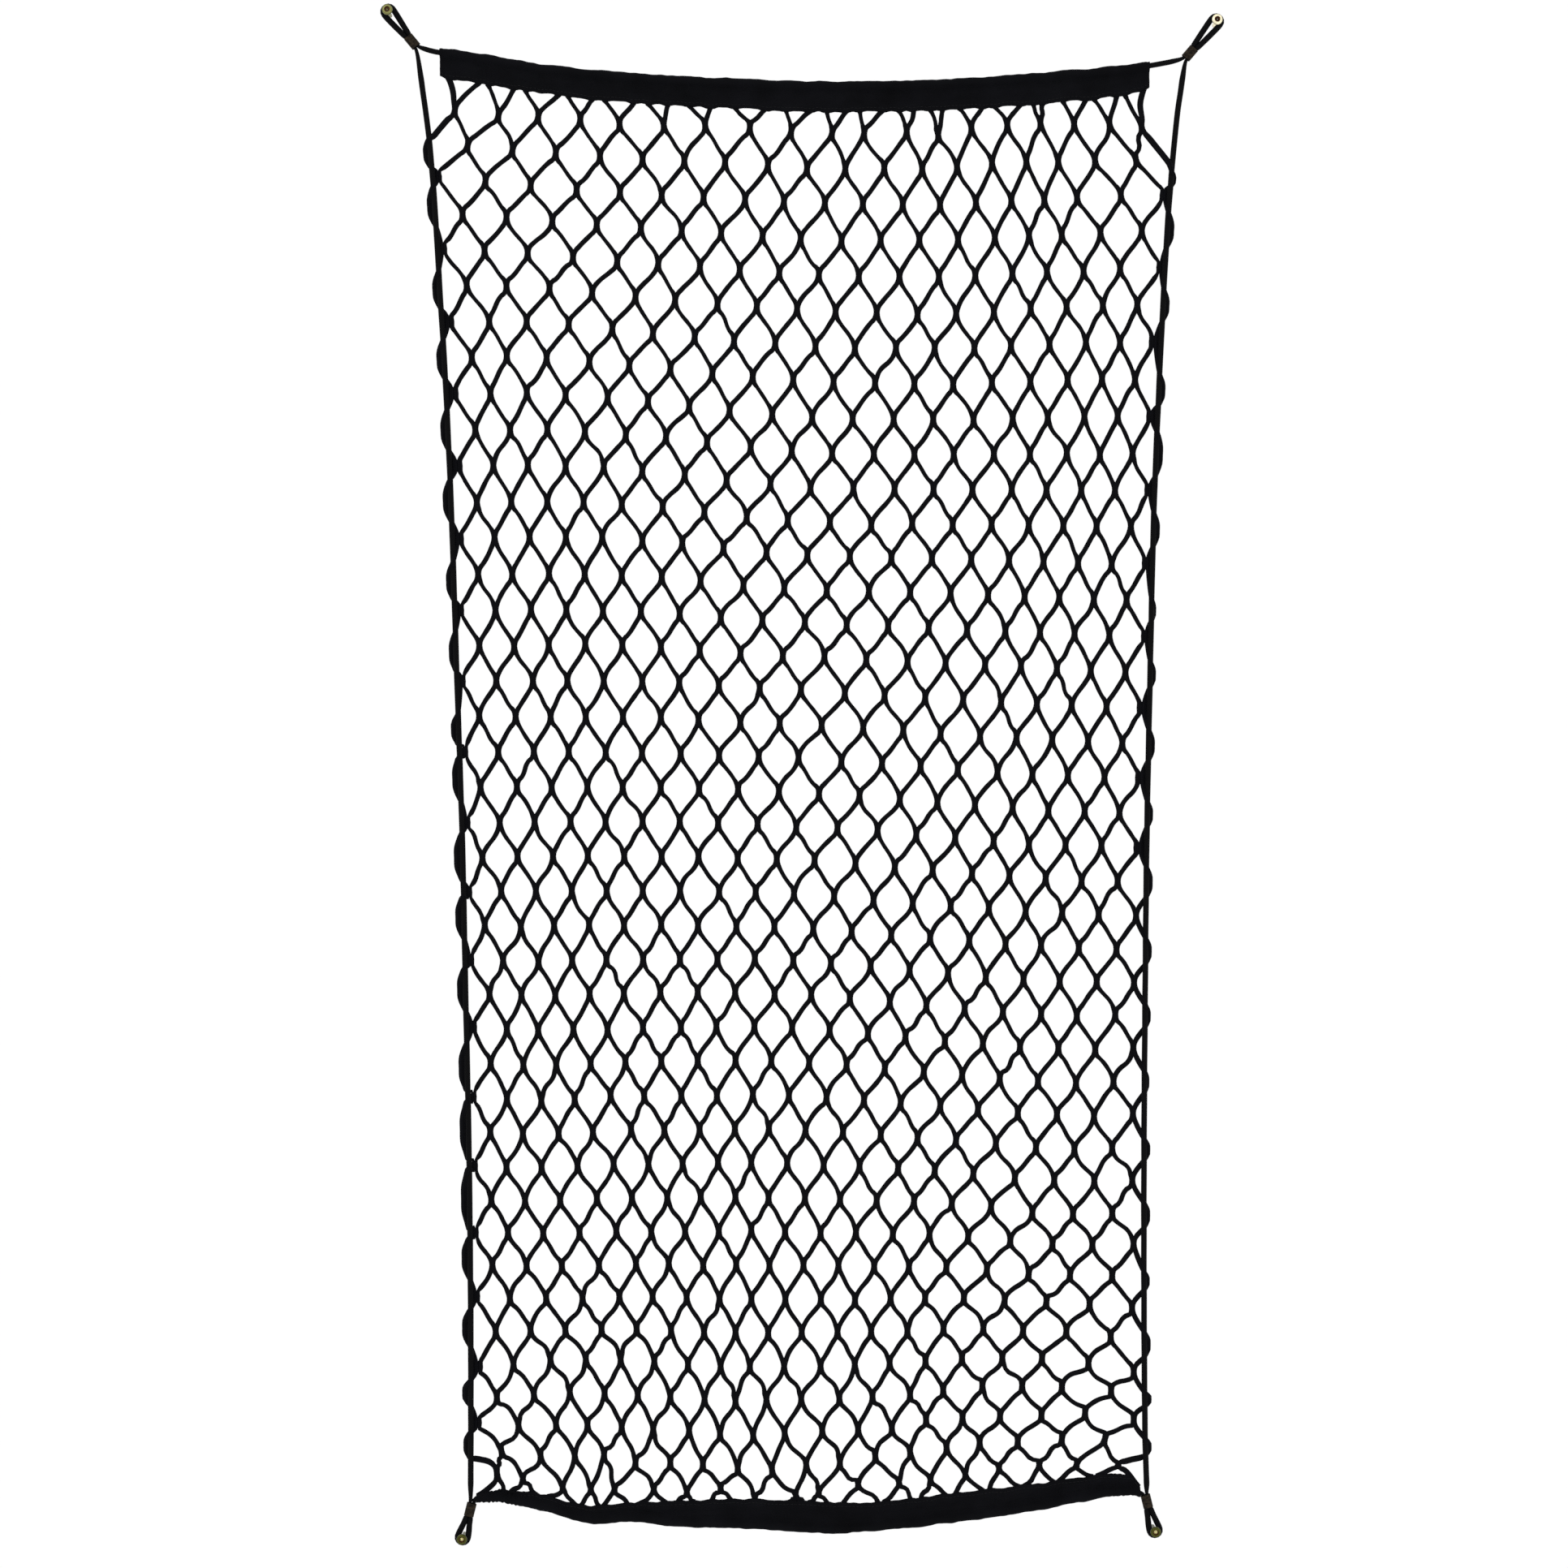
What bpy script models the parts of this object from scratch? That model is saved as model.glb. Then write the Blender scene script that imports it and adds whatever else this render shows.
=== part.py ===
"""A cargo net on its four brass hook pins.

The net lies face up: its top is at +Y, its face looks to +Z and z = 0 is the
surface under it. A diamond-mesh netting is sewn into a folded band at the top
and at the bottom. One shock cord runs round the whole net: inside the outer
edge of each band, and along each side over the outermost twine. At each corner
a crimped ferrule pinches the cord into a loop, and the loop hangs on a pin.
"""

import math

import bmesh
import bpy
from mathutils import Vector

MM = 0.001

# Driving sizes, in millimetres.
GAP = 0.3
CORD_RADIUS = 2.375
NET_THICKNESS = 2.2
TAPE_THICKNESS = 1.0
CASING_CLEARANCE = 0.4
CASING_SEGMENTS = 9
CASING_TURN = 225.0
WIDEST_BAND_CELL = 38.0

# The twine at each edge bulges past the cord at every odd row of meshes.
SELVAGE_BULGE = 7.2
SELVAGE_LOW = 1.2
SELVAGE_STATIONS = (-0.4, -0.25, -0.12, 0.0, 0.12, 0.25, 0.4)
SELVAGE_SHARPNESS = 4

# A gap of the netting is a soft hexagon between four joints of the twine.
JOINT_WIDTH = 4.6
JOINT_LENGTH = 13.0
GAP_SHOULDER = 3.9
GAP_ROWS = (5, 15, 25, 35)
GAP_COLUMNS = (4, 9, 14)

FERRULE_LENGTH = 12.4
FERRULE_WALL = 0.9
FERRULE_END_STEPS = 8
CRIMPED_CORD = 0.68
CRIMP_TAPER = 5.0
STRAIGHT_PAST_MOUTH = 1.0
LOOP_FLARE = 0.95

PIN_SHANK_RADIUS = 1.7
PIN_HEAD_RADIUS = 4.7
PIN_HEIGHT = 23.0
PIN_HEAD_DEPTH = 3.4
PIN_EDGE = 0.8
PIN_SOCKET_RADIUS = 2.4
PIN_SOCKET_DEPTH = 1.8
PIN_STEPS = 24
LOOP_ARC_STEPS = 7

CORD_STEPS_BETWEEN_POINTS = 2
CORD_BEVEL_RESOLUTION = 2


def curve_through(keys, values, key):
    """The value at key of a smooth curve through the values at rising keys."""
    last = len(keys) - 1
    cell = max(0, min(last - 1, sum(k <= key for k in keys) - 1))

    def slope(i):
        low, high = max(0, i - 1), min(last, i + 1)
        return (values[high] - values[low]) / (keys[high] - keys[low])

    width = keys[cell + 1] - keys[cell]
    t = (key - keys[cell]) / width
    start = values[cell] * (2 * t**3 - 3 * t**2 + 1)
    start += slope(cell) * width * (t**3 - 2 * t**2 + t)
    end = values[cell + 1] * (3 * t**2 - 2 * t**3)
    end += slope(cell + 1) * width * (t**3 - t**2)
    return start + end


class Table:
    """Rows of sizes under named columns, read at any key of the first column."""

    def __init__(self, columns, rows):
        self.columns = columns
        self.rows = sorted(rows)
        self.keys = [row[0] for row in self.rows]

    def read(self, column, key):
        place = self.columns.index(column)
        return curve_through(self.keys, [row[place] for row in self.rows], key)


# The side runs of the cord, from the net's top to its bottom.
SIDE_CORDS = Table(
    ("y", "left", "right"),
    (
        (625, -344.3, 343.2),
        (583, -338.5, 337.2),
        (545, -334.8, 334.0),
        (500, -331.5, 330.5),
        (440, -328.0, 327.0),
        (360, -323.0, 323.0),
        (240, -317.5, 318.0),
        (90, -312.5, 314.5),
        (-60, -307.5, 311.5),
        (-200, -304.5, 310.0),
        (-340, -301.5, 309.0),
        (-480, -300.0, 309.0),
        (-600, -299.8, 310.0),
        (-640, -300.0, 311.3),
    ),
)

# The outer and the inner edge of each band, from left to right.
TOP_BAND = Table(
    ("x", "outer", "inner"),
    (
        (-328, 656.5, 633.0),
        (-316, 655.0, 628.5),
        (-285, 650.5, 626.0),
        (-235, 643.0, 617.0),
        (-185, 637.0, 610.5),
        (-138, 633.5, 606.5),
        (-65, 630.0, 603.5),
        (0, 627.5, 600.5),
        (65, 627.2, 601.0),
        (140, 629.5, 603.0),
        (210, 634.5, 607.5),
        (276, 640.5, 613.5),
        (300, 643.0, 617.0),
        (314, 644.5, 621.5),
    ),
)
BOTTOM_BAND = Table(
    ("x", "outer", "inner"),
    (
        (-291, -657.5, -649.5),
        (-272, -658.5, -648.0),
        (-245, -663.5, -649.5),
        (-222, -669.0, -655.0),
        (-200, -673.5, -659.5),
        (-157, -676.0, -659.5),
        (-109, -680.5, -658.3),
        (-58, -682.0, -656.5),
        (0, -685.5, -657.5),
        (30, -686.8, -659.7),
        (65, -684.4, -659.1),
        (111, -680.0, -654.7),
        (166, -673.0, -648.0),
        (214, -666.0, -642.0),
        (255, -658.0, -635.5),
        (285, -652.6, -632.8),
        (298, -652.2, -637.5),
    ),
)

# Where the joints of the netting lie, across some of its rows.
NET_COLUMN_KEYS = (0, 4.5, 9, 13.5, 18)
NET_X = Table(
    ("row", "left", "quarter", "middle", "three_quarters", "right"),
    (
        (0, -314.5, -145.7, 26.8, 169.4, 306.9),
        (2, -329.0, -145.5, 19.5, 173.8, 327.3),
        (6, -318.5, -153.5, 11.0, 171.7, 316.0),
        (10, -311.3, -161.6, 7.6, 172.1, 312.7),
        (14, -309.0, -162.9, 2.2, 166.8, 308.3),
        (18, -308.0, -161.8, -3.1, 158.5, 304.0),
        (22, -304.0, -161.0, -7.1, 152.0, 301.5),
        (26, -297.0, -160.7, -9.8, 146.4, 299.0),
        (30, -298.2, -155.0, -14.3, 137.3, 299.0),
        (34, -294.5, -149.8, -15.1, 128.6, 299.2),
        (38, -293.0, -149.2, -15.8, 128.6, 300.2),
        (40, -276.7, -152.5, -5.5, 131.2, 286.6),
    ),
)
NET_Y = Table(
    ("row", "left", "quarter", "middle", "three_quarters", "right"),
    (
        (0, 601.8, 588.4, 580.9, 586.8, 586.8),
        (2, 541.8, 525.7, 516.6, 519.5, 526.0),
        (6, 410.1, 401.3, 388.7, 387.4, 391.0),
        (10, 279.2, 275.9, 260.4, 258.1, 257.3),
        (14, 148.9, 148.0, 137.9, 131.4, 125.2),
        (18, 20.8, 20.2, 14.6, 3.6, -4.0),
        (22, -106.4, -106.1, -108.1, -119.9, -127.7),
        (26, -228.9, -229.3, -228.5, -241.2, -247.0),
        (30, -354.1, -352.2, -351.8, -358.8, -367.2),
        (34, -473.3, -472.2, -474.5, -473.8, -483.0),
        (38, -587.0, -591.7, -595.9, -582.7, -583.3),
        (40, -626.0, -644.4, -651.0, -634.0, -622.7),
    ),
)
LAST_NET_ROW = 40

# The netting's own corners, where it leaves the bands for the side cords.
NET_CORNERS = {
    "top_left": ((-316.0, 604.0), (-334.5, 581.5)),
    "top_right": ((334.0, 563.0), (310.5, 588.0), (304.0, 612.0)),
    "bottom_right": ((287.5, -624.5), (309.0, -618.5)),
    "bottom_left": ((-296.5, -621.0), (-282.5, -625.5), (-279.5, -636.0)),
}
NET_UNDER_TOP_BAND = (-315.5, 303.0)
NET_OVER_BOTTOM_BAND = (-288.0, 286.0)

# Each corner's pin and ferrule, clockwise from the top left.
CORNER_COLUMNS = ("name", "pin_x", "pin_y", "ferrule_x", "ferrule_y")
CORNERS = (
    ("top_left", -373.0, 687.1, -353.0, 663.0),
    ("top_right", 372.6, 678.3, 350.5, 652.5),
    ("bottom_right", 317.3, -680.6, 311.6, -657.4),
    ("bottom_left", -306.0, -687.2, -300.4, -665.0),
)

# The heights of the cord's centre line: lying free, in a casing, in a ferrule,
# and along the sides, where it runs over the netting's edge.
CASING_RADIUS = CORD_RADIUS + CASING_CLEARANCE + TAPE_THICKNESS / 2
FREE_HEIGHT = CORD_RADIUS
CASING_HEIGHT = CASING_RADIUS + TAPE_THICKNESS / 2
STRAND_RADIUS = CORD_RADIUS * CRIMPED_CORD
STRAND_OFFSET = STRAND_RADIUS + GAP / 2
FERRULE_HALF_HEIGHT = STRAND_RADIUS + GAP + FERRULE_WALL
SIDE_HEIGHT = NET_THICKNESS + GAP + CORD_RADIUS
LOOP_RADIUS = PIN_SHANK_RADIUS + GAP + CORD_RADIUS

# The cord's own points between each ferrule and the run that it leads to.
# Each is x, y, height and the cord's width there over its free width.
TOP_LEFT_LEAD = ((-342.5, 656.6, 3.1, 0.92), (-335.0, 654.3, 3.6, 1.0))
TOP_RIGHT_LEAD = ((322.0, 642.4, 3.4, 1.0), (335.0, 645.6, 3.1, 0.95))
BOTTOM_RIGHT_LEAD = ((307.2, -649.0, 3.0, 0.72), (303.6, -648.7, 3.3, 0.88))
BOTTOM_LEFT_LEAD = ((-293.4, -653.6, 3.5, 0.92), (-296.4, -655.2, 3.1, 0.76))

# The places along each side where the cord's line is read, from top to bottom,
# and the places above and below them where it comes down off the netting.
SIDE_STATIONS = (560, 530, 500, 440, 380, 310, 240, 165, 90, 15, -60, -130, -200)
SIDE_STATIONS += (-270, -340, -410, -480, -540, -600)
SIDE_TOP_LEAD = ((576, 4.95), (592, 4.7), (610, 4.0), (627, 3.2))
SIDE_BOTTOM_LEAD = ((-621, 4.85), (-633, 4.3), (-642, 3.5))


def clear_scene():
    for item in list(bpy.data.objects):
        bpy.data.objects.remove(item, do_unlink=True)


def make_material(name, colour, roughness, metallic=0.0):
    material = bpy.data.materials.new(name)
    material.use_nodes = True
    shader = material.node_tree.nodes["Principled BSDF"]
    shader.inputs["Base Color"].default_value = (*colour, 1.0)
    shader.inputs["Roughness"].default_value = roughness
    shader.inputs["Metallic"].default_value = metallic
    return material


def add_object(name, data, collection, material):
    item = bpy.data.objects.new(name, data)
    item.data.materials.append(material)
    collection.objects.link(item)
    return item


def net_point(row, column):
    """Where the joint of a row and a column lies."""
    place = []
    for table in (NET_X, NET_Y):
        knots = [table.read(name, row) for name in table.columns[1:]]
        place.append(curve_through(NET_COLUMN_KEYS, knots, column))
    return Vector(place)


def band_stations(table):
    """The x values at which a band has a section, its two ends among them."""
    stations = [table.keys[0]]
    for left, right in zip(table.keys, table.keys[1:]):
        count = math.ceil((right - left) / WIDEST_BAND_CELL)
        stations += [left + (right - left) * (i + 1) / count for i in range(count)]
    return stations


def band_inner_edge(table, left, right, side):
    """The netting's edge beside a band, GAP away from it, from left to right."""
    stations = [x for x in band_stations(table) if left < x < right]
    return [(x, table.read("inner", x) + side * GAP) for x in (left, *stations, right)]


def selvage(side, side_sign):
    """The wavy edge of the netting at one side, from top to bottom."""
    edge = []
    for row in range(1, LAST_NET_ROW, 2):
        middle = NET_Y.read(side, row)
        period = (NET_Y.read(side, row - 1) - NET_Y.read(side, row + 1))
        for t in SELVAGE_STATIONS:
            y = middle - t * period
            bulge = math.cos(math.pi * t) ** SELVAGE_SHARPNESS
            reach = SELVAGE_LOW + (SELVAGE_BULGE - SELVAGE_LOW) * bulge
            edge.append((SIDE_CORDS.read(side, y) + side_sign * reach, y))
    return edge


def netting_outline():
    top = band_inner_edge(TOP_BAND, *NET_UNDER_TOP_BAND, -1)
    right = [p for p in selvage("right", 1) if p[1] < NET_CORNERS["top_right"][0][1]]
    bottom = band_inner_edge(BOTTOM_BAND, *NET_OVER_BOTTOM_BAND, 1)
    left = selvage("left", -1)
    points = list(NET_CORNERS["top_left"][::-1])
    points += top
    points += NET_CORNERS["top_right"][::-1]
    points += [p for p in right if p[1] > NET_CORNERS["bottom_right"][1][1]]
    points += NET_CORNERS["bottom_right"][::-1]
    points += bottom[::-1]
    points += NET_CORNERS["bottom_left"][::-1]
    low, high = NET_CORNERS["bottom_left"][0][1], NET_CORNERS["top_left"][1][1]
    points += [p for p in left[::-1] if low < p[1] < high]
    return points


def gap_outline(row, column):
    """A soft hexagonal gap between the joints above, below and beside it."""
    top, bottom = net_point(row - 1, column), net_point(row + 1, column)
    left, right = net_point(row, column - 0.5), net_point(row, column + 0.5)
    half_joint, shoulder = JOINT_LENGTH / 2, Vector((0, GAP_SHOULDER))
    inset = Vector((JOINT_WIDTH / 2, 0))
    return [
        top - Vector((0, half_joint)),
        right - inset + shoulder,
        right - inset - shoulder,
        bottom + Vector((0, half_joint)),
        left + inset - shoulder,
        left + inset + shoulder,
    ]


def make_netting(collection, material):
    """The netting as a flat sheet with its outline and some of its gaps."""
    curve = bpy.data.curves.new("netting", "CURVE")
    curve.dimensions = "2D"
    curve.fill_mode = "BOTH"
    curve.extrude = NET_THICKNESS / 2 * MM
    outlines = [netting_outline()]
    outlines += [gap_outline(row, column) for row in GAP_ROWS for column in GAP_COLUMNS]
    for outline in outlines:
        spline = curve.splines.new("POLY")
        spline.use_cyclic_u = True
        spline.points.add(len(outline) - 1)
        for point, place in zip(spline.points, outline):
            point.co = (place[0] * MM, place[1] * MM, 0, 1)
    netting = add_object("netting", curve, collection, material)
    netting.location.z = NET_THICKNESS / 2 * MM


def fold_profile(width):
    """The tape's middle surface across a band of this width.

    It runs from the inner edge along the surface, round the cord's casing at
    the outer edge and back on top. Each point is a distance from the outer
    edge and a height.
    """
    low = TAPE_THICKNESS / 2
    high = low + TAPE_THICKNESS + GAP
    profile = [(width, low)]
    for i in range(CASING_SEGMENTS + 1):
        turn = math.radians(-90 - CASING_TURN * i / CASING_SEGMENTS)
        along = CASING_HEIGHT + CASING_RADIUS * math.cos(turn)
        profile.append((along, CASING_HEIGHT + CASING_RADIUS * math.sin(turn)))
    along, height = profile[-1]
    landing = min(along + height - high, width - GAP)
    profile += [(landing, high), (width, high)]
    return profile


def make_band(name, table, inward, collection, material):
    """A tape folded over the cord, as a bent surface that is given thickness."""
    mesh = bmesh.new()
    sections = []
    for x in band_stations(table):
        outer, inner = table.read("outer", x), table.read("inner", x)
        section = []
        for along, height in fold_profile(abs(outer - inner)):
            place = Vector((x, outer + inward * along, height)) * MM
            section.append(mesh.verts.new(place))
        sections.append(section)
    for first, second in zip(sections, sections[1:]):
        for i in range(len(first) - 1):
            mesh.faces.new((first[i], first[i + 1], second[i + 1], second[i]))
    if inward < 0:
        bmesh.ops.reverse_faces(mesh, faces=mesh.faces)
    data = bpy.data.meshes.new(name)
    mesh.to_mesh(data)
    mesh.free()
    band = add_object(name, data, collection, material)
    solidify = band.modifiers.new("tape", "SOLIDIFY")
    solidify.thickness = TAPE_THICKNESS * MM
    solidify.offset = 0.0
    solidify.use_even_offset = True


def corner_frame(corner):
    """A corner's pin, ferrule, the way from ferrule to pin and its left side."""
    row = dict(zip(CORNER_COLUMNS, corner))
    pin = Vector((row["pin_x"], row["pin_y"]))
    ferrule = Vector((row["ferrule_x"], row["ferrule_y"]))
    out = (pin - ferrule).normalized()
    return pin, ferrule, out, Vector((-out.y, out.x))


def corner_loop(corner):
    """The cord's points through the ferrule, round the pin and back."""
    pin, ferrule, out, left = corner_frame(corner)
    half = FERRULE_LENGTH / 2
    strand = []
    end = half + STRAIGHT_PAST_MOUTH
    for along in (-end, -half / 2, half / 2, end):
        place = ferrule + out * along
        strand.append((place, STRAND_OFFSET, FERRULE_HALF_HEIGHT, CRIMPED_CORD))
    place = ferrule + out * (half + CRIMP_TAPER)
    strand.append((place, STRAND_OFFSET + LOOP_FLARE, FREE_HEIGHT, 1.0))
    loop = []
    for place, offset, height, width in strand:
        loop.append((*(place + left * offset), height, width))
    for i in range(LOOP_ARC_STEPS + 1):
        turn = math.pi * i / LOOP_ARC_STEPS
        around = left * math.cos(turn) + out * math.sin(turn)
        loop.append((*(pin + around * LOOP_RADIUS), FREE_HEIGHT, 1.0))
    for place, offset, height, width in reversed(strand):
        loop.append((*(place - left * offset), height, width))
    return loop


def band_run(table, inward):
    """The cord's points inside a band's casing, from left to right."""
    run = []
    for x in band_stations(table):
        y = table.read("outer", x) + inward * CASING_HEIGHT
        run.append((x, y, CASING_HEIGHT, 1.0))
    return run


def side_points(side, places):
    """The cord's points at places along one side, each a y and a height."""
    return [(SIDE_CORDS.read(side, y), y, height, 1.0) for y, height in places]


def cord_route():
    """All of the cord's points, clockwise from the top left ferrule."""
    top, bottom = band_run(TOP_BAND, -1), band_run(BOTTOM_BAND, 1)[::-1]
    run = [(y, SIDE_HEIGHT) for y in SIDE_STATIONS]
    right, left = side_points("right", run), side_points("left", run[::-1])
    loops = [corner_loop(corner) for corner in CORNERS]
    top_left = [*side_points("left", SIDE_TOP_LEAD), *loops[0], *TOP_LEFT_LEAD]
    top_right = [*TOP_RIGHT_LEAD, *loops[1], *side_points("right", SIDE_TOP_LEAD[::-1])]
    bottom_right = [*side_points("right", SIDE_BOTTOM_LEAD), *loops[2]]
    bottom_right += BOTTOM_RIGHT_LEAD
    bottom_left = [*BOTTOM_LEFT_LEAD, *loops[3]]
    bottom_left += side_points("left", SIDE_BOTTOM_LEAD[::-1])
    route = smooth([left[-1], *top_left, top[0]]) + top[1:-1]
    route += smooth([top[-1], *top_right, right[0]]) + right[1:-1]
    route += smooth([right[-1], *bottom_right, bottom[0]]) + bottom[1:-1]
    return route + smooth([bottom[-1], *bottom_left, left[0]]) + left[1:-1]


def smooth(points):
    """A finer path through the points, which bends at none of them."""
    points = [Vector(p) for p in points]
    points = [2 * points[0] - points[1], *points, 2 * points[-1] - points[-2]]
    path = []
    for i in range(1, len(points) - 2):
        around = points[i - 1 : i + 3]
        keys = [0.0]
        for a, b in zip(around, around[1:]):
            keys.append(keys[-1] + math.sqrt((b - a).length))
        for step in range(CORD_STEPS_BETWEEN_POINTS):
            t = keys[1] + (keys[2] - keys[1]) * step / CORD_STEPS_BETWEEN_POINTS
            path.append(blend_four(around, keys, t))
    path.append(points[-2])
    for place in path:
        place.z = max(place.z, CORD_RADIUS * place.w)
    return path


def blend_four(points, keys, t):
    """The place at t of the curve that passes the two middle points of four."""

    def mix(a, b, low, high):
        return a * ((high - t) / (high - low)) + b * ((t - low) / (high - low))

    first = [mix(points[i], points[i + 1], keys[i], keys[i + 1]) for i in range(3)]
    second = [mix(first[i], first[i + 1], keys[i], keys[i + 2]) for i in range(2)]
    return mix(second[0], second[1], keys[1], keys[2])


def make_cord(collection, material):
    curve = bpy.data.curves.new("shock_cord", "CURVE")
    curve.dimensions = "3D"
    curve.bevel_depth = CORD_RADIUS * MM
    curve.bevel_resolution = CORD_BEVEL_RESOLUTION
    curve.render_resolution_u = 0
    curve.use_fill_caps = True
    ring = cord_route()
    spline = curve.splines.new("POLY")
    spline.use_cyclic_u = True
    spline.points.add(len(ring) - 1)
    for point, place in zip(spline.points, ring):
        point.co = (place[0] * MM, place[1] * MM, place[2] * MM, 1)
        point.radius = place[3]
    add_object("shock_cord", curve, collection, material)


def stadium(half_width, radius):
    """A ring of points round a slot shape, its width along x."""
    ring = []
    for side in (1, -1):
        for i in range(FERRULE_END_STEPS + 1):
            turn = math.pi * (i / FERRULE_END_STEPS - 0.5)
            across = side * (half_width - radius + radius * math.cos(turn))
            ring.append((across, side * radius * math.sin(turn)))
    return ring


def make_ferrule(corner, collection, material):
    """A flattened tube round both strands of the cord."""
    _, centre, out, left = corner_frame(corner)
    bore_radius = STRAND_RADIUS + GAP
    ring = stadium(STRAND_OFFSET + bore_radius, bore_radius)
    mesh = bmesh.new()
    ends = []
    for way in (-0.5, 0.5):
        end = []
        for across, up in ring:
            place = centre + out * (way * FERRULE_LENGTH) + left * across
            height = FERRULE_HALF_HEIGHT + up
            end.append(mesh.verts.new(Vector((*place, height)) * MM))
        ends.append(end)
    for i in range(len(ring)):
        following = (i + 1) % len(ring)
        mesh.faces.new((ends[0][i], ends[0][following], ends[1][following], ends[1][i]))
    data = bpy.data.meshes.new("ferrule")
    mesh.to_mesh(data)
    mesh.free()
    ferrule = add_object("ferrule_" + corner[0], data, collection, material)
    solidify = ferrule.modifiers.new("wall", "SOLIDIFY")
    solidify.thickness = FERRULE_WALL * MM
    solidify.offset = 1.0
    solidify.use_even_offset = True


def pin_profile():
    """Half of the pin's section: radii and heights, down its outer side."""
    floor = PIN_HEIGHT - PIN_SOCKET_DEPTH
    brim = PIN_HEIGHT - PIN_HEAD_DEPTH
    return [
        (0, floor),
        (PIN_SOCKET_RADIUS, floor),
        (PIN_SOCKET_RADIUS, PIN_HEIGHT - PIN_EDGE / 2),
        (PIN_SOCKET_RADIUS + PIN_EDGE / 2, PIN_HEIGHT),
        (PIN_HEAD_RADIUS - PIN_EDGE, PIN_HEIGHT - PIN_EDGE / 2),
        (PIN_HEAD_RADIUS, PIN_HEIGHT - PIN_EDGE * 2),
        (PIN_HEAD_RADIUS, brim + PIN_EDGE),
        (PIN_HEAD_RADIUS - PIN_EDGE, brim),
        (PIN_SHANK_RADIUS, brim),
        (PIN_SHANK_RADIUS, 0),
        (0, 0),
    ]


def make_pin(corner, collection, material):
    """A turned pin with a socket in its head, standing on the surface."""
    mesh = bmesh.new()
    verts = [mesh.verts.new(Vector((r, 0, height)) * MM) for r, height in pin_profile()]
    for first, second in zip(verts, verts[1:]):
        mesh.edges.new((first, second))
    data = bpy.data.meshes.new("pin")
    mesh.to_mesh(data)
    mesh.free()
    pin = add_object("pin_" + corner[0], data, collection, material)
    place = corner_frame(corner)[0] * MM
    pin.location = (place.x, place.y, 0)
    screw = pin.modifiers.new("turn", "SCREW")
    screw.steps = PIN_STEPS
    screw.render_steps = PIN_STEPS
    screw.use_merge_vertices = True
    screw.merge_threshold = 0.00001


def build():
    clear_scene()
    collection = bpy.data.collections.new("cargo_net_with_hook_pins")
    bpy.context.scene.collection.children.link(collection)
    twine = make_material("black_twine", (0.006, 0.006, 0.009), 0.8)
    tape = make_material("black_tape", (0.005, 0.005, 0.007), 0.75)
    cord = make_material("black_cord", (0.006, 0.006, 0.007), 0.7)
    bronze = make_material("dark_bronze", (0.035, 0.027, 0.019), 0.45, 0.9)
    brass = make_material("brass", (0.6, 0.45, 0.13), 0.3, 1.0)
    make_netting(collection, twine)
    make_band("top_band", TOP_BAND, -1, collection, tape)
    make_band("bottom_band", BOTTOM_BAND, 1, collection, tape)
    make_cord(collection, cord)
    for corner in CORNERS:
        make_ferrule(corner, collection, bronze)
        make_pin(corner, collection, brass)


build()
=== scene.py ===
"""The looks of the cargo net: its twines, tapes, cord, ferrules and pins.

The net lies face up on a lit white floor, with its top at +Y. Sizes are in
millimetres in the tables and in metres in the meshes.
"""

import math
import random

import bpy
import numpy as np
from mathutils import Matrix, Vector, noise


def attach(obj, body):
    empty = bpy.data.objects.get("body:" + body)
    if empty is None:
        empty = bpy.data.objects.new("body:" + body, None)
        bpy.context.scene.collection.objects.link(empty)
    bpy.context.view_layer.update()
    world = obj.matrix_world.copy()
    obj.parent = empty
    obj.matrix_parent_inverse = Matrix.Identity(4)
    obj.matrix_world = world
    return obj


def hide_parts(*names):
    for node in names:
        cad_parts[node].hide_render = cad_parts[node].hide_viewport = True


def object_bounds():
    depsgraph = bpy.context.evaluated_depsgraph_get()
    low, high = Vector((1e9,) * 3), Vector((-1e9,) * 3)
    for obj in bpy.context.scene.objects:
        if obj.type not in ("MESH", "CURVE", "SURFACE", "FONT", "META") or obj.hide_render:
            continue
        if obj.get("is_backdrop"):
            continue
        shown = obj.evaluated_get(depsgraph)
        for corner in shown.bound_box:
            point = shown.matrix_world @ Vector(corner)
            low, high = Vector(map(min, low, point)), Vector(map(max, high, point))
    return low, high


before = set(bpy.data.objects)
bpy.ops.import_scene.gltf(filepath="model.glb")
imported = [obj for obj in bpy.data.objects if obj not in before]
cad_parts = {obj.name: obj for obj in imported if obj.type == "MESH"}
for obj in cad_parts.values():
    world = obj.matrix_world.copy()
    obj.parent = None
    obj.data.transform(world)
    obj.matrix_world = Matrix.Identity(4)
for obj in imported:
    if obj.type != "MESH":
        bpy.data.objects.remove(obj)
cad_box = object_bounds()

MM = 0.001
SEED = 7

# The camera stands straight above the middle of the photograph.
CAMERA_PLACE = (-0.0166, -0.0086, 2.6)
FRAME_WIDTH = 1.420
SENSOR = 36.0

# The netting's twine. Two twines are knitted together at each joint, where each
# is narrower, and they part in a web.
TWINE_WIDTH = 4.8
THICK_TWINE = 5.9
TWINE_HEIGHT = 2.1
JOINED_WIDTH = 3.4
JOINED_OFFSET = 1.2
WEB_WIDTH = 4.9
WEB_OFFSET = 1.6
JOINT_HALF_LENGTH = 5.1
SHORT_JOINTS = {(40, twice): 3.6 for twice in range(2, 36, 2)} | {(40, 0): 6.0, (40, 36): 2.0}
# A twine that slants down to the right lies more on its edge.
EDGEWISE_AT_TOP = 0.81
EDGEWISE_A_ROW = 0.0028
# From this distance the twine beside the side cord goes in under it.
UNDER_CORD = 1.9
TWINE_REST_HEIGHT = 1.15
TWINE_SIDES = 8
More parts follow.
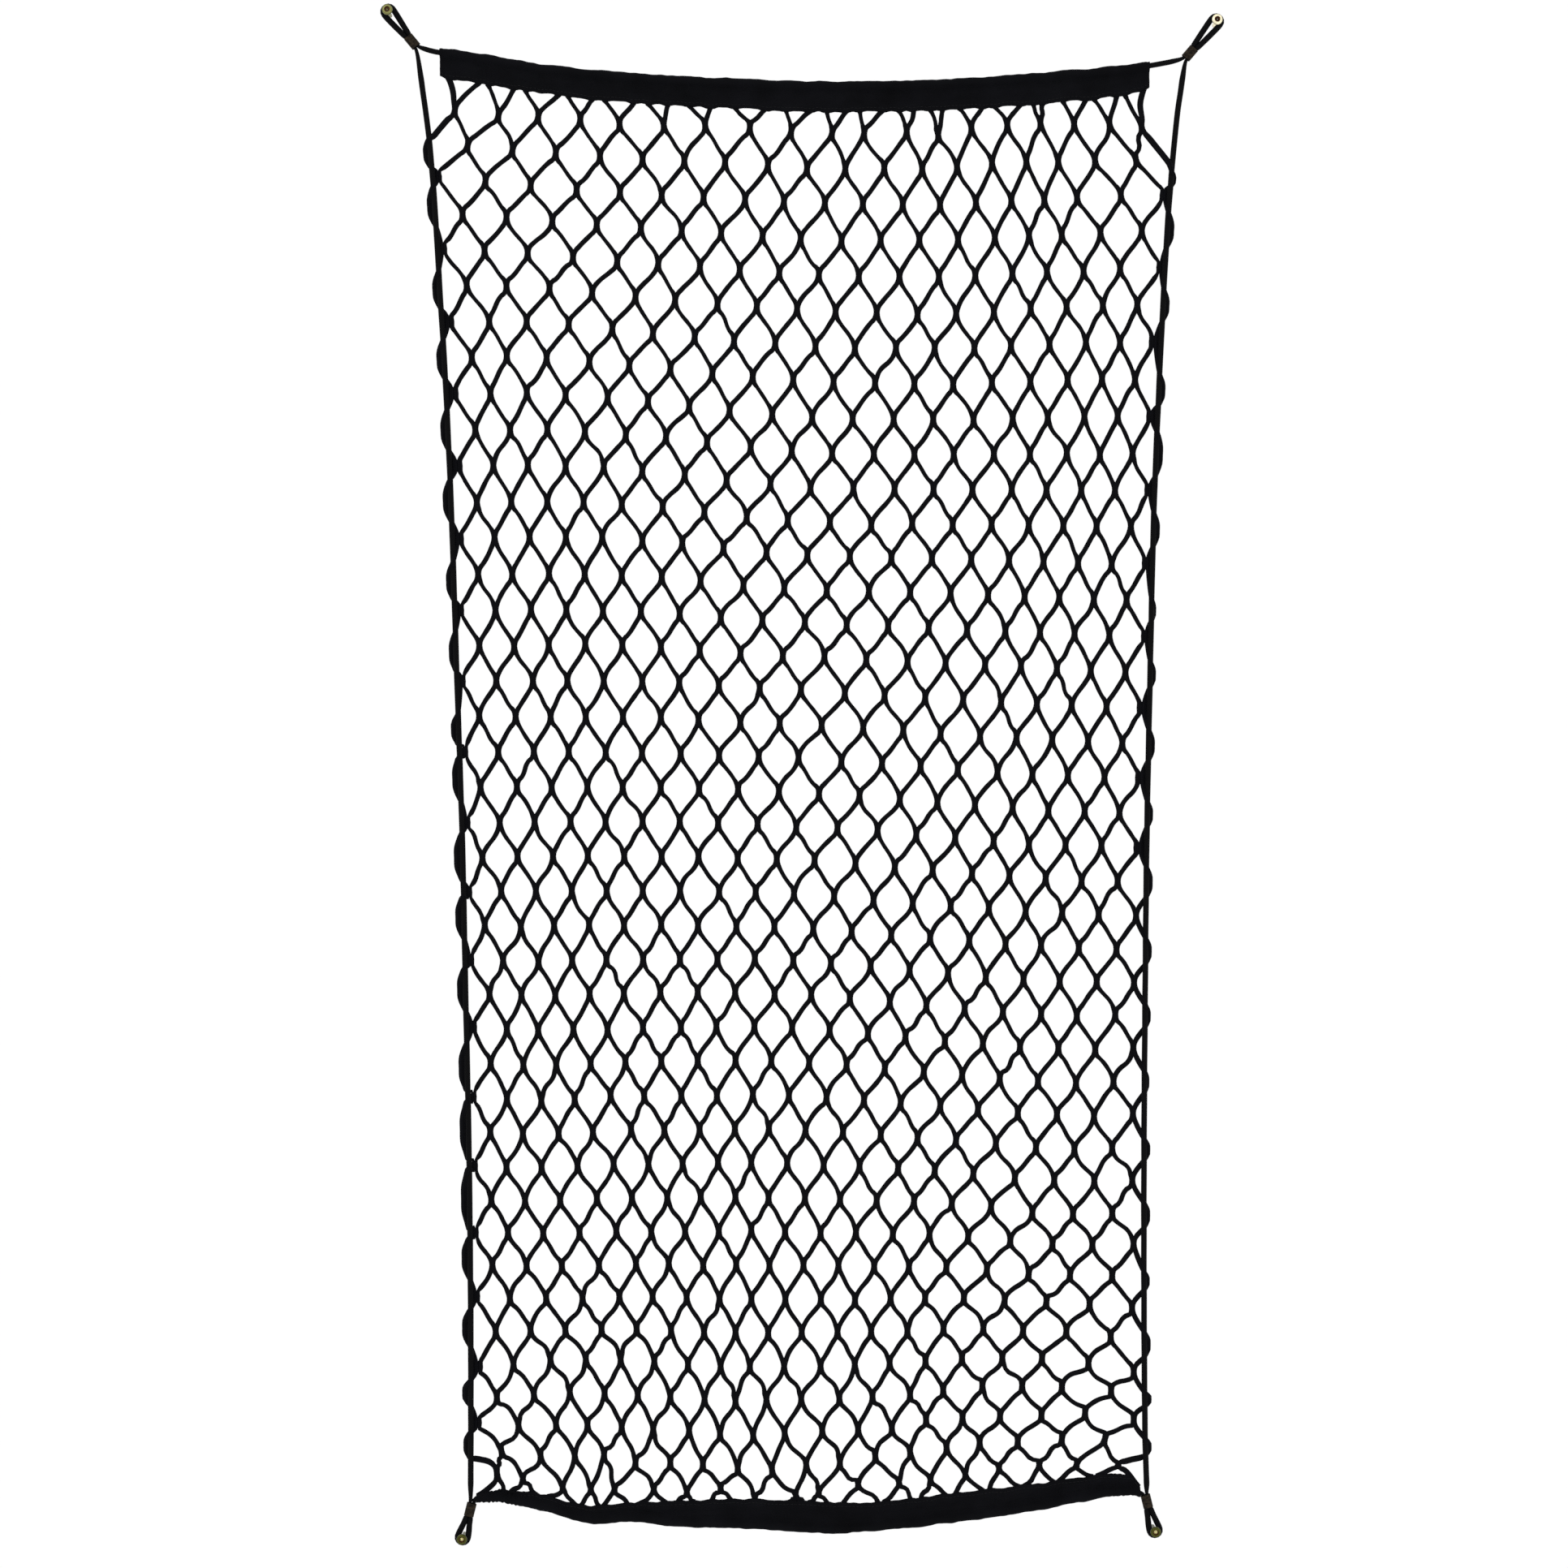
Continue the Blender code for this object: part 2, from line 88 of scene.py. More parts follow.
# A ring of so few sides is only this share of its nominal width across.
RING_SHARE = math.cos(math.pi / TWINE_SIDES)
TWINE_SPACING = 2.9
TWINES_A_PIECE = 10
LEG_LENGTH = 37.6
FULL_BOW = 3.2
LAST_ROW = 40
LAST_COLUMN = 18
FIRST_UNEVEN_ROW = 36
# Above this row the twines beside the right side cord spread out.
SPREAD_ROWS_RIGHT = 22
# From this row on down, the legs are slack enough to bow.
SLACK_ROW = 33
EDGE_JOINT_GAP = 4.7

# The whole netting as it is cut, in metres, and the share of it that is twine.
# In the photo 0.205 of its middle is dark, which makes about 0.27 with a guess at
# the twine's thickness. 0.30 is the least that a sheet may state.
# The bands' tapes as they are cut, in metres: twice the width that shows in the
# photo (27.2 and 25.0 mm) and 3.65 mm for the way round the cord.
TOP_TAPE_FLAT = (0.0580, 0.650)
BOTTOM_TAPE_FLAT = (0.0537, 0.605)

CORD_RADIUS = 2.375
CORD_SIDES = 14
CORD_SPACING = 3.0
CRIMPED_CORD = 0.68
# Where the twine goes under the side cord, the cord rises by this much.
SIDE_HEIGHT = 3.45
SIDE_RISE = 0.55

TAPE_THICKNESS = 0.8
CASING_RADIUS = 3.2
BAND_STEP = 1.7
# The two seams, one from the outer edge and one from the inner.
OUTER_SEAM = 8.8
INNER_SEAM = 3.0
STITCH = 3.5


def curve_through(keys, values, key):
    """The value at key of a smooth curve through the values at rising keys."""
    last = len(keys) - 1
    cell = max(0, min(last - 1, sum(k <= key for k in keys) - 1))

    def slope(i):
        low, high = max(0, i - 1), min(last, i + 1)
        return (values[high] - values[low]) / (keys[high] - keys[low])

    width = keys[cell + 1] - keys[cell]
    t = (key - keys[cell]) / width
    start = values[cell] * (2 * t**3 - 3 * t**2 + 1)
    start += slope(cell) * width * (t**3 - 2 * t**2 + t)
    end = values[cell + 1] * (3 * t**2 - 2 * t**3)
    end += slope(cell + 1) * width * (t**3 - t**2)
    return start + end


class Table:
    """Rows of sizes under named columns, read at any key of the first column."""

    def __init__(self, columns, rows):
        self.columns = columns
        self.rows = sorted(rows)
        self.keys = [row[0] for row in self.rows]

    def read(self, column, key):
        place = self.columns.index(column)
        return curve_through(self.keys, [row[place] for row in self.rows], key)


SIDE_CORDS = Table(("y", "left", "right"), (
    (625, -344.3, 343.2),
    (583, -338.5, 337.2),
    (545, -334.8, 334.0),
    (500, -331.5, 330.5),
    (440, -328.0, 327.0),
    (360, -323.0, 323.0),
    (240, -317.5, 318.0),
    (90, -312.5, 314.5),
    (-60, -307.5, 311.5),
    (-200, -304.5, 310.0),
    (-340, -301.5, 309.0),
    (-480, -300.0, 309.0),
    (-600, -299.8, 310.0),
    (-640, -300.0, 311.3),
))
# Both bands' edges were corrected by what a scratch script read from the photo.
TOP_BAND = Table(("x", "outer", "inner"), (
    (-328, 656.5, 631.5),
    (-316, 655.3, 628.0),
    (-295, 652.6, 626.7),
    (-280, 650.0, 622.8),
    (-262, 646.6, 620.4),
    (-235, 642.6, 616.8),
    (-185, 637.0, 610.5),
    (-138, 633.3, 606.7),
    (-65, 629.7, 603.0),
    (0, 627.3, 600.0),
    (65, 627.2, 600.2),
    (140, 629.6, 602.2),
    (210, 634.2, 606.3),
    (276, 640.0, 612.6),
    (300, 642.7, 616.8),
    (314, 644.6, 621.0),
))
BOTTOM_BAND = Table(("x", "outer", "inner"), (
    (-295, -658.6, -651.2),
    (-291, -658.0, -649.8),
    (-272, -658.5, -648.0),
    (-245, -663.5, -649.5),
    (-222, -669.0, -655.0),
    (-200, -676.3, -661.5),
    (-184, -677.8, -661.5),
    (-157, -675.8, -659.2),
    (-109, -680.5, -657.6),
    (-58, -681.6, -656.0),
    (0, -685.3, -657.8),
    (30, -686.4, -659.0),
    (65, -683.9, -658.6),
    (111, -679.6, -653.9),
    (166, -672.6, -647.2),
    (214, -665.2, -641.6),
    (255, -657.2, -635.5),
    (285, -652.6, -632.8),
    (297, -651.6, -633.6),
    (302, -652.2, -638.3),
    (305.5, -653.6, -644.5),
))

# Where the joints of the netting lie, across some of its rows. Many of the values
# were corrected to what a scratch script worked out from the photo.
COLUMN_KEYS = (0, 2, 4.5, 9, 13.5, 16, 18)
NET_COLUMNS = ("row", "left", "inner_left", "quarter", "middle", "three_quarters", "inner_right", "right")
NET_X = Table(NET_COLUMNS, (
    (0, -314.5, -239.0, -145.7, 26.8, 169.4, 246.0, 306.9),
    (2, -329.0, -245.5, -145.5, 20.0, 173.8, 249.4, 327.3),
    (6, -318.5, -250.0, -153.0, 11.0, 172.2, 256.5, 316.0),
    (10, -311.3, -247.5, -162.5, 8.0, 172.6, 252.3, 312.7),
    (14, -309.0, -246.0, -162.9, 2.2, 167.0, 246.7, 308.3),
    (18, -308.0, -243.0, -162.0, -2.8, 158.8, 241.0, 304.0),
    (22, -304.0, -241.0, -161.3, -7.1, 152.0, 235.0, 301.5),
    (26, -297.0, -238.0, -160.7, -9.8, 146.2, 231.5, 299.0),
    (30, -298.2, -236.5, -154.8, -14.3, 137.6, 228.0, 299.0),
    (34, -294.5, -232.5, -150.1, -15.5, 128.9, 222.5, 299.2),
    (36, -292.2, -228.0, -149.0, -16.5, 128.0, 217.0, 300.2),
))
NET_Y = Table(NET_COLUMNS, (
    (0, 601.8, 596.0, 588.4, 580.9, 586.8, 589.0, 586.8),
    (2, 541.8, 533.5, 525.7, 517.0, 519.5, 522.4, 526.0),
    (6, 410.1, 410.5, 402.0, 388.2, 387.2, 391.5, 391.0),
    (10, 279.2, 280.0, 277.0, 260.4, 258.4, 257.6, 257.3),
    (14, 148.9, 149.7, 149.0, 137.9, 131.2, 127.9, 125.2),
    (18, 20.8, 20.8, 20.2, 15.0, 3.9, -0.8, -4.0),
    (22, -106.4, -105.5, -104.8, -107.7, -119.9, -125.2, -127.7),
    (26, -228.9, -231.3, -229.3, -228.5, -242.4, -247.7, -247.0),
    (30, -354.1, -355.4, -352.5, -351.8, -359.1, -367.8, -367.2),
    (34, -473.3, -474.8, -472.7, -474.5, -473.8, -480.6, -483.0),
    (36, -536.3, -529.5, -530.5, -535.6, -529.2, -528.0, -540.7),
))
# Where the netting is pulled aside, and how far round that this reaches.
PULLS = (
    # row, column, x, y, rows, columns
    (15.5, 6.9, -2.5, 0.0, 3.6, 1.7),
    (17.0, 10.8, 2.6, 0.0, 4.0, 1.5),
    (5.0, 11.6, 1.4, -1.2, 3.0, 1.8),
    (34.5, 16.2, -1.6, 2.9, 1.6, 1.7),
    (33.5, 2.0, 0.0, 1.5, 1.8, 1.2),
)
# The uneven rows beside the bands, joint by joint from left to right.
UNEVEN_ROWS_X = {
    0: (-314.5, -275, -239, -201, -165.5, -125.5, -88, -47.5, -10, 27, 56, 94.5, 123, 153, 185.5, 215.5,
        246, 278, 307),
    36: (-292, -261.5, -228, -196, -164.5, -134, -103.5, -74, -47.5, -16.5, 16.5, 47.5, 79, 111.5, 144.5,
         181, 217, 259, 300),
    37: (-276.5, -243, -210.5, -179, -149, -119.5, -88.5, -60.5, -32.5, -1, 33.5, 63.5, 97.5, 127.5, 163,
         199, 235, 279.5),
    38: (-293, -257, -223, -194.5, -163.5, -135, -102.5, -74.5, -44.5, -16, 18, 50.5, 81, 112, 145, 179,
         216.5, 256, 300),
    39: (-272.5, -237, -206, -179.5, -151, -119.5, -90, -58.5, -27.5, 3.5, 34, 66, 97.5, 130.5, 160.5, 195,
         235, 274),
    40: (-276.5, -253, -217, -191.5, -170, -134.5, -104.5, -74, -43, -6, 15, 50.5, 87.5, 116, 147.5, 178,
         214.5, 248.5, 286),
}
UNEVEN_ROWS_Y = {
    0: (602, 597, 596, 593.5, 589, 588, 588, 586, 582.5, 581, 581, 582.5, 579, 585.5, 588, 590, 589,
        589, 587),
    36: (-536.5, -533.5, -529.5, -529, -529.5, -531, -534, -535.5, -535.5, -535.5, -535.5, -534, -532.5,
         -530.5, -528, -528, -528, -532.5, -540.5),
    37: (-563.5, -561, -559, -560, -561.5, -563, -565, -567, -565.5, -565, -564.5, -563, -561, -557, -553,
         -553, -554, -557.5),
    38: (-587, -589, -588, -588.5, -590.5, -592.5, -593.5, -596.5, -598, -596, -593.5, -592.5, -591.5, -583.5,
         -582, -580.5, -579.5, -577.5, -583.5),
    39: (-612, -616.5, -616.5, -615.5, -622.5, -622.5, -624, -627.5, -629, -624.5, -622.5, -616.5, -613, -609,
         -604.5, -603.5, -601, -601),
    40: (-632, -637, -645, -646.5, -646.5, -646.5, -649, -645.5, -655, -652, -649, -642, -640.5, -638, -633,
         -627.5, -624.5, -624, -624.5),
}
# Where each edge joint's left and right legs reach the band, from left to right.
TOP_FEET = (
    (-318.6, -284.3, -250.6, -212.1, -178.9, -139.7, -102.2, -60.4, -14.6, 22.3, 52.1, 87.1, 115.8, 142.4,
     174.3, 209.1, 236.1, 263.4, 291.9),
    (-292.2, -261.2, -220.5, -189.7, -152.5, -121.7, -83.1, -34.2, 6.8, 39.6, 72.3, 100.7, 127.0, 162.6,
     196.9, 217.7, 256.6, 284.4, 308.0),
)
BOTTOM_FEET = (
    (-287.3, -263.1, -229.6, -200.3, -179.6, -145.6, -112.3, -82.0, -46.7, -11.0, 6.8, 37.1, 74.1, 107.7,
     138.7, 169.6, 201.5, 232.7, 267.2),
    (-270.8, -243.2, -206.2, -184.4, -158.8, -124.1, -98.7, -64.8, -39.3, 0.3, 22.3, 68.3, 97.8, 129.5,
     163.1, 195.4, 227.0, 261.6, 303.0),
)
# The outermost twines' own ways: from the band's corner, on to the cord, and back.
LEFT_WAY = {
    "start": ((-322.5, 634.0), (-318.8, 627.0), (-316.2, 618.0)),
    1: ((-320.6, 593.2), (-327.8, 584.2), (-333.6, 576.6)),
    40: ((-296.5, -619.3), (-290.2, -620.3), (-283.6, -622.0)),
    "end": ((-280.6, -643.0), (-285.0, -646.8), (-290.4, -650.8), (-294.0, -652.8)),
}
RIGHT_WAY = {
    "start": ((310.5, 624.5), (308.2, 618.0), (305.8, 606.5)),
    1: ((313.5, 576.5), (320.5, 567.3), (327.3, 558.3), (331.8, 551.5)),
    40: ((305.5, -618.6), (298.8, -619.9), (292.5, -621.6)),
    "end": ((291.6, -629.4), (296.0, -633.8), (300.3, -639.6), (304.3, -644.6)),
}

# The last column darkens each pin's rim towards olive, partly tarnished tone and partly painted reflection,
# and paints a highlight on its boss.
CORNER_COLUMNS = ("name", "pin_x", "pin_y", "ferrule_x", "ferrule_y", "tarnish_and_painted_light")
CORNERS = (
    ("top_left", -373.0, 687.1, -353.0, 663.0, 0.55),
    ("top_right", 372.6, 678.3, 350.5, 652.5, 0.0),
    ("bottom_right", 317.3, -680.6, 311.6, -657.4, 1.0),
    ("bottom_left", -306.0, -687.2, -300.4, -665.0, 1.0),
)


# ---- mesh tools


def smooth(points, spacing, closed=False):
    """A finer path through rows of numbers, each row a place and its sizes."""
    points = np.array(points, float)
    if closed:
        points = np.vstack([points[-1], points, points[:2]])
    else:
        points = np.vstack([2 * points[0] - points[1], points, 2 * points[-1] - points[-2]])
    path = []
    for i in range(1, len(points) - 2):
        four = points[i - 1 : i + 3]
        gaps = np.linalg.norm(np.diff(four[:, :3], axis=0), axis=1)
        k0, k1, k2, k3 = np.concatenate([[0.0], np.cumsum(np.sqrt(np.maximum(gaps, 1e-6)))])
        steps = max(1, round(gaps[1] / spacing))
        t = (k1 + (k2 - k1) * np.arange(steps) / steps)[:, None]
        a = (four[0] * (k1 - t) + four[1] * (t - k0)) / (k1 - k0)
        b = (four[1] * (k2 - t) + four[2] * (t - k1)) / (k2 - k1)
        c = (four[2] * (k3 - t) + four[3] * (t - k2)) / (k3 - k2)
        d = (a * (k2 - t) + b * (t - k0)) / (k2 - k0)
        e = (b * (k3 - t) + c * (t - k1)) / (k3 - k1)
        path.append((d * (k2 - t) + e * (t - k1)) / (k2 - k1))
    if not closed:
        path.append(points[-2:-1])
    return np.vstack(path)


def place_object(name, data):
    """A new object in the scene."""
    thing = bpy.data.objects.new(name, data)
    bpy.context.scene.collection.objects.link(thing)
    return thing


class Gather:
    """Gathers tubes, rings and sheets, in millimetres, into one mesh.

    Its UV map, Surface, runs round a tube from 0 to 1 and along it in
    millimetres. On a sheet both ways are in millimetres.
    """

    def __init__(self):
        self.verts, self.quads, self.uvs, self.count = [], [], [], 0

    def add(self, verts, quads, uvs):
        self.verts.append(verts.reshape(-1, 3))
        self.quads.append(quads.reshape(-1, 4) + self.count)
        self.uvs.append(uvs.reshape(-1, 2))
        self.count += len(self.verts[-1])

    def rings(self, verts, along, closed=False):
        """Rings of places, each joined to the next, with a cap at each open end."""
        count, sides = verts.shape[:2]
        number = np.arange(count * sides).reshape(count, sides)
        if closed:
            number = np.vstack([number, number[:1]])
        right = np.roll(number, -1, 1)
        quads = np.stack([number[:-1], right[:-1], right[1:], number[1:]], -1).reshape(-1, 4)
        place = np.stack(np.meshgrid(np.arange(sides + 1) / sides, along), -1)
        corners = (place[:-1, :-1], place[:-1, 1:], place[1:, 1:], place[1:, :-1])
        uvs = np.stack(corners, -2).reshape(-1, 4, 2)
        if not closed:
            half = np.arange(sides // 2 - 1)
            cap = np.stack([half, half + 1, sides - 2 - half, sides - 1 - half], 1)
            quads = np.vstack([quads, cap[:, ::-1], cap + (count - 1) * sides])
            uvs = np.vstack([uvs, np.zeros((2 * len(cap), 4, 2))])
        self.add(verts, quads, uvs)

    def tube(self, path, sides, closed=False):
        """A flattened tube. Each row of the path is x, y, z, width and height."""
        places = path[:, :3]
        ahead = np.roll(places, -1, 0) - np.roll(places, 1, 0)
        if not closed:
            ahead[0] = places[1] - places[0]
            ahead[-1] = places[-1] - places[-2]
        ahead /= np.linalg.norm(ahead, axis=1)[:, None]
        across = np.stack([-ahead[:, 1], ahead[:, 0], 0 * ahead[:, 0]], 1)
        across /= np.maximum(np.linalg.norm(across, axis=1), 1e-9)[:, None]
        up = np.cross(ahead, across)
        turn = 2 * math.pi * (np.arange(sides) + 0.5) / sides
        wide, high = path[:, 3:4] / 2 * np.cos(turn), path[:, 4:5] / 2 * np.sin(turn)
        verts = places[:, None] + across[:, None] * wide[:, :, None] + up[:, None] * high[:, :, None]
        steps = np.linalg.norm(np.diff(places, axis=0), axis=1)
        along = np.concatenate([[0.0], np.cumsum(steps)])
        if closed:
            along = np.append(along, along[-1] + np.linalg.norm(places[0] - places[-1]))
        self.rings(verts, along, closed)

    def sheet(self, middle, thickness, across, along):
        """A sheet of this thickness about a grid of places."""
        down, right = np.gradient(middle, axis=0), np.gradient(middle, axis=1)
        normal = np.cross(down, right)
        normal /= np.maximum(np.linalg.norm(normal, axis=2), 1e-9)[:, :, None]
        top, bottom = middle + normal * thickness / 2, middle - normal * thickness / 2
        rows, columns = middle.shape[:2]
        number = np.arange(rows * columns).reshape(rows, columns)
        upper = np.stack([number[:-1, :-1], number[1:, :-1], number[1:, 1:], number[:-1, 1:]], -1)
        lower = upper[..., ::-1] + rows * columns
        rim = np.concatenate([number[0], number[1:, -1], number[-1, -2::-1], number[-2:0:-1, 0]])
        following = np.roll(rim, -1)
        edge = np.stack([rim, following, following + rows * columns, rim + rows * columns], 1)
        place = np.stack([across, along], -1).reshape(-1, 2)
        place = np.vstack([place, place])
        quads = np.vstack([upper.reshape(-1, 4), lower.reshape(-1, 4), edge])
        self.add(np.vstack([top.reshape(-1, 3), bottom.reshape(-1, 3)]), quads, place[quads])

    def make(self, name, material):
        verts, quads = np.vstack(self.verts) * MM, np.vstack(self.quads)
        data = bpy.data.meshes.new(name)
        data.vertices.add(len(verts))
        data.vertices.foreach_set("co", verts.ravel())
        data.loops.add(quads.size)
        data.loops.foreach_set("vertex_index", quads.ravel())
        data.polygons.add(len(quads))
        data.polygons.foreach_set("loop_start", np.arange(0, quads.size, 4))
        data.uv_layers.new(name="Surface")
        data.uv_layers["Surface"].uv.foreach_set("vector", np.vstack(self.uvs).ravel())
        data.update(calc_edges=True)
        data.shade_smooth()
        data.materials.append(material)
        return place_object(name, data)


# ---- materials


class Pattern:
    """A Principled material, with small nodes that work out its pattern."""

    def __init__(self, name, colour, roughness, metallic=0.0, specular=0.5):
        self.material = bpy.data.materials.new(name)
        self.material.use_nodes = True
        self.tree = self.material.node_tree
        self.shader = self.tree.nodes["Principled BSDF"]
        self.set("Base Color", (*colour, 1.0))
        self.set("Roughness", roughness)
        self.set("Metallic", metallic)
        self.set("Specular IOR Level", specular)

    def set(self, socket, value):
        self.shader.inputs[socket].default_value = value

    def sheen(self, weight, roughness):
        self.set("Sheen Weight", weight)
        self.set("Sheen Roughness", roughness)
        self.set("Sheen Tint", (0.55, 0.6, 0.8, 1.0))

    def link(self, source, socket):
        self.tree.links.new(source, socket)

    def node(self, kind, **settings):
        node = self.tree.nodes.new(kind)
        for name, value in settings.items():
            setattr(node, name, value)
        return node

    def math(self, operation, first, second=None):
        node = self.node("ShaderNodeMath", operation=operation)
        for socket, value in zip(node.inputs, (first, second)):
            if isinstance(value, (int, float)):
                socket.default_value = value
            elif value is not None:
                self.link(value, socket)
        return node.outputs[0]

    def times(self, first, second):
        return self.math("MULTIPLY", first, second)

    def plus(self, first, second):
        return self.math("ADD", first, second)

    def surface(self):
        """The two numbers of the mesh's own map, round or across, and along."""
        split = self.node("ShaderNodeSeparateXYZ")
        self.link(self.node("ShaderNodeUVMap", uv_map="Surface").outputs["UV"], split.inputs[0])
        return split.outputs[0], split.outputs[1]

    def noise(self, scale, detail=3.0):
        """A noise of this many lumps a metre."""
        place = self.node("ShaderNodeTexCoord").outputs["Object"]
        node = self.node("ShaderNodeTexNoise")
        node.inputs["Scale"].default_value = scale
        node.inputs["Detail"].default_value = detail
        self.link(place, node.inputs["Vector"])
        return node.outputs["Fac"]

    def half_wave(self, cycles, length=1.0):
        """A hump from 0 to 1 and back in each cycle of this length."""
        down = self.times(self.math("COSINE", self.times(cycles, 2 * math.pi / length)), -0.5)
        return self.plus(down, 0.5)

    def mix(self, factor, low, high, socket, low_at=0.0, high_at=1.0):
        """Colours or numbers from low to high, as the factor rises."""
        ramp = self.node("ShaderNodeValToRGB")
        ramp.color_ramp.elements[0].position = low_at
        ramp.color_ramp.elements[1].position = high_at
        for element, value in zip(ramp.color_ramp.elements, (low, high)):
            element.color = (*value, 1.0) if hasattr(value, "__len__") else (value, value, value, 1.0)
        self.link(factor, ramp.inputs[0])
        self.link(ramp.outputs[0], self.shader.inputs[socket])

    def bump(self, height, depth):
        """Raises the surface by up to depth metres where height is 1."""
        node = self.node("ShaderNodeBump")
        node.inputs["Strength"].default_value = 1.0
        node.inputs["Distance"].default_value = depth
        self.link(height, node.inputs["Height"])
        self.link(node.outputs[0], self.shader.inputs["Normal"])


def twine_material():
    """Knitted black twine: chains of slanting loops, side by side."""
    look = Pattern("knitted_twine", (0.003, 0.003, 0.0037), 0.85, specular=0.04)
    look.sheen(0.025, 0.4)
    around, along = look.surface()
    chain = look.times(around, 6.0)
    place = look.math("SUBTRACT", look.math("FRACT", chain), 0.5)
    slant = look.times(look.math("ABSOLUTE", place), 1.6)
    loop = look.plus(look.math("DIVIDE", along, 2.1), slant)
    loops = look.half_wave(loop)
    ridge = look.half_wave(chain)
    height = look.times(look.plus(loops, 0.6), ridge)
    fuzz = look.times(look.noise(2600.0, 2.0), 0.35)
    height = look.plus(look.times(height, 0.62), fuzz)
    look.bump(height, 0.00035)
    patches = look.times(look.noise(60.0), 0.5)
    # Painted shade: the knit's low places are coloured darker than its loops; the patches are tone that
    # varies at random.
    shade = look.plus(look.times(height, 0.55), patches)
    look.mix(shade, (0.0010, 0.0010, 0.0013), (0.0048, 0.0049, 0.0066), "Base Color", 0.15, 0.95)
    return look.material


def tape_material():
    """Black woven tape: fine ribs across it, under and over the long threads."""
    look = Pattern("woven_tape", (0.0025, 0.0025, 0.003), 0.8, specular=0.04)
    look.sheen(0.02, 0.45)
    across, along = look.surface()
    warp = look.times(across, 2 * math.pi / 1.1)
    weft = look.times(along, 2 * math.pi / 0.9)
    over = look.times(look.math("SINE", warp), look.math("SINE", weft))
    ribs = look.plus(look.times(over, 0.3), 0.5)
    fuzz = look.times(look.noise(1800.0, 2.0), 0.4)
    height = look.plus(ribs, fuzz)
    look.bump(height, 0.00022)
    patches = look.times(look.noise(35.0, 4.0), 0.8)
    # Painted shade: the weave's low places are coloured darker; the patches are tone that varies at random.
    shade = look.plus(look.times(height, 0.3), patches)
    look.mix(shade, (0.0010, 0.0010, 0.0013), (0.0042, 0.0043, 0.0058), "Base Color", 0.3, 0.95)
    return look.material


def braid_material():
    """The cord's braided cover: two sets of yarns, over and under by turns."""
    look = Pattern("braided_cover", (0.0015, 0.0015, 0.002), 0.7, specular=0.05)
    look.sheen(0.01, 0.4)
    around, along = look.surface()
    turns = look.times(around, 8.0)
    rise = look.math("DIVIDE", along, 2.6)
    right, left = look.plus(turns, rise), look.math("SUBTRACT", turns, rise)
    first = look.math("ABSOLUTE", look.math("SINE", look.times(right, math.pi)))
    second = look.math("ABSOLUTE", look.math("SINE", look.times(left, math.pi)))
    by_turns = look.math("SINE", look.times(turns, 2 * math.pi))
    by_turns = look.times(by_turns, look.math("SINE", look.times(rise, 2 * math.pi)))
    share = look.plus(look.times(by_turns, 0.5), 0.5)
    over = look.times(first, share)
    under = look.times(second, look.math("SUBTRACT", 1.0, share))
    height = look.plus(over, under)
    fibres = look.times(look.noise(2400.0, 2.0), 0.25)
    look.bump(look.plus(height, fibres), 0.0003)
    # Painted shade: the grooves between the yarns are coloured darker than the yarns on top.
    look.mix(height, (0.0005, 0.0005, 0.0006), (0.0026, 0.0026, 0.0031), "Base Color", 0.1, 1.0)
    return look.material


def thread_material():
    """Black sewing thread, twisted from plies."""
    look = Pattern("sewing_thread", (0.004, 0.004, 0.005), 0.5, specular=0.12)
    around, along = look.surface()
    twist = look.plus(look.times(around, 3.0), look.math("DIVIDE", along, 0.9))
    height = look.half_wave(twist)
    look.bump(height, 0.00008)
    # Painted shade: the grooves between the plies are coloured darker.
    look.mix(height, (0.002, 0.002, 0.0025), (0.007, 0.007, 0.009), "Base Color")
    return look.material


def bronze_material():
    """Dark bronzed steel, rubbed paler in places."""
    look = Pattern("dark_bronze", (0.016, 0.012, 0.009), 0.42, metallic=0.85)
    wear = look.noise(420.0, 5.0)
    look.mix(wear, (0.0045, 0.0032, 0.0021), (0.032, 0.022, 0.012), "Base Color", 0.38, 0.78)
    scuffs = look.noise(1500.0, 4.0)
    look.mix(scuffs, 0.32, 0.62, "Roughness", 0.3, 0.7)
    look.bump(look.plus(look.times(scuffs, 0.5), wear), 0.00012)
    return look.material


# How far along the pin's profile its rim starts, and the rest of it from there.
RIM_ALONG = 23.8
HEAD_ALONG = 7.1


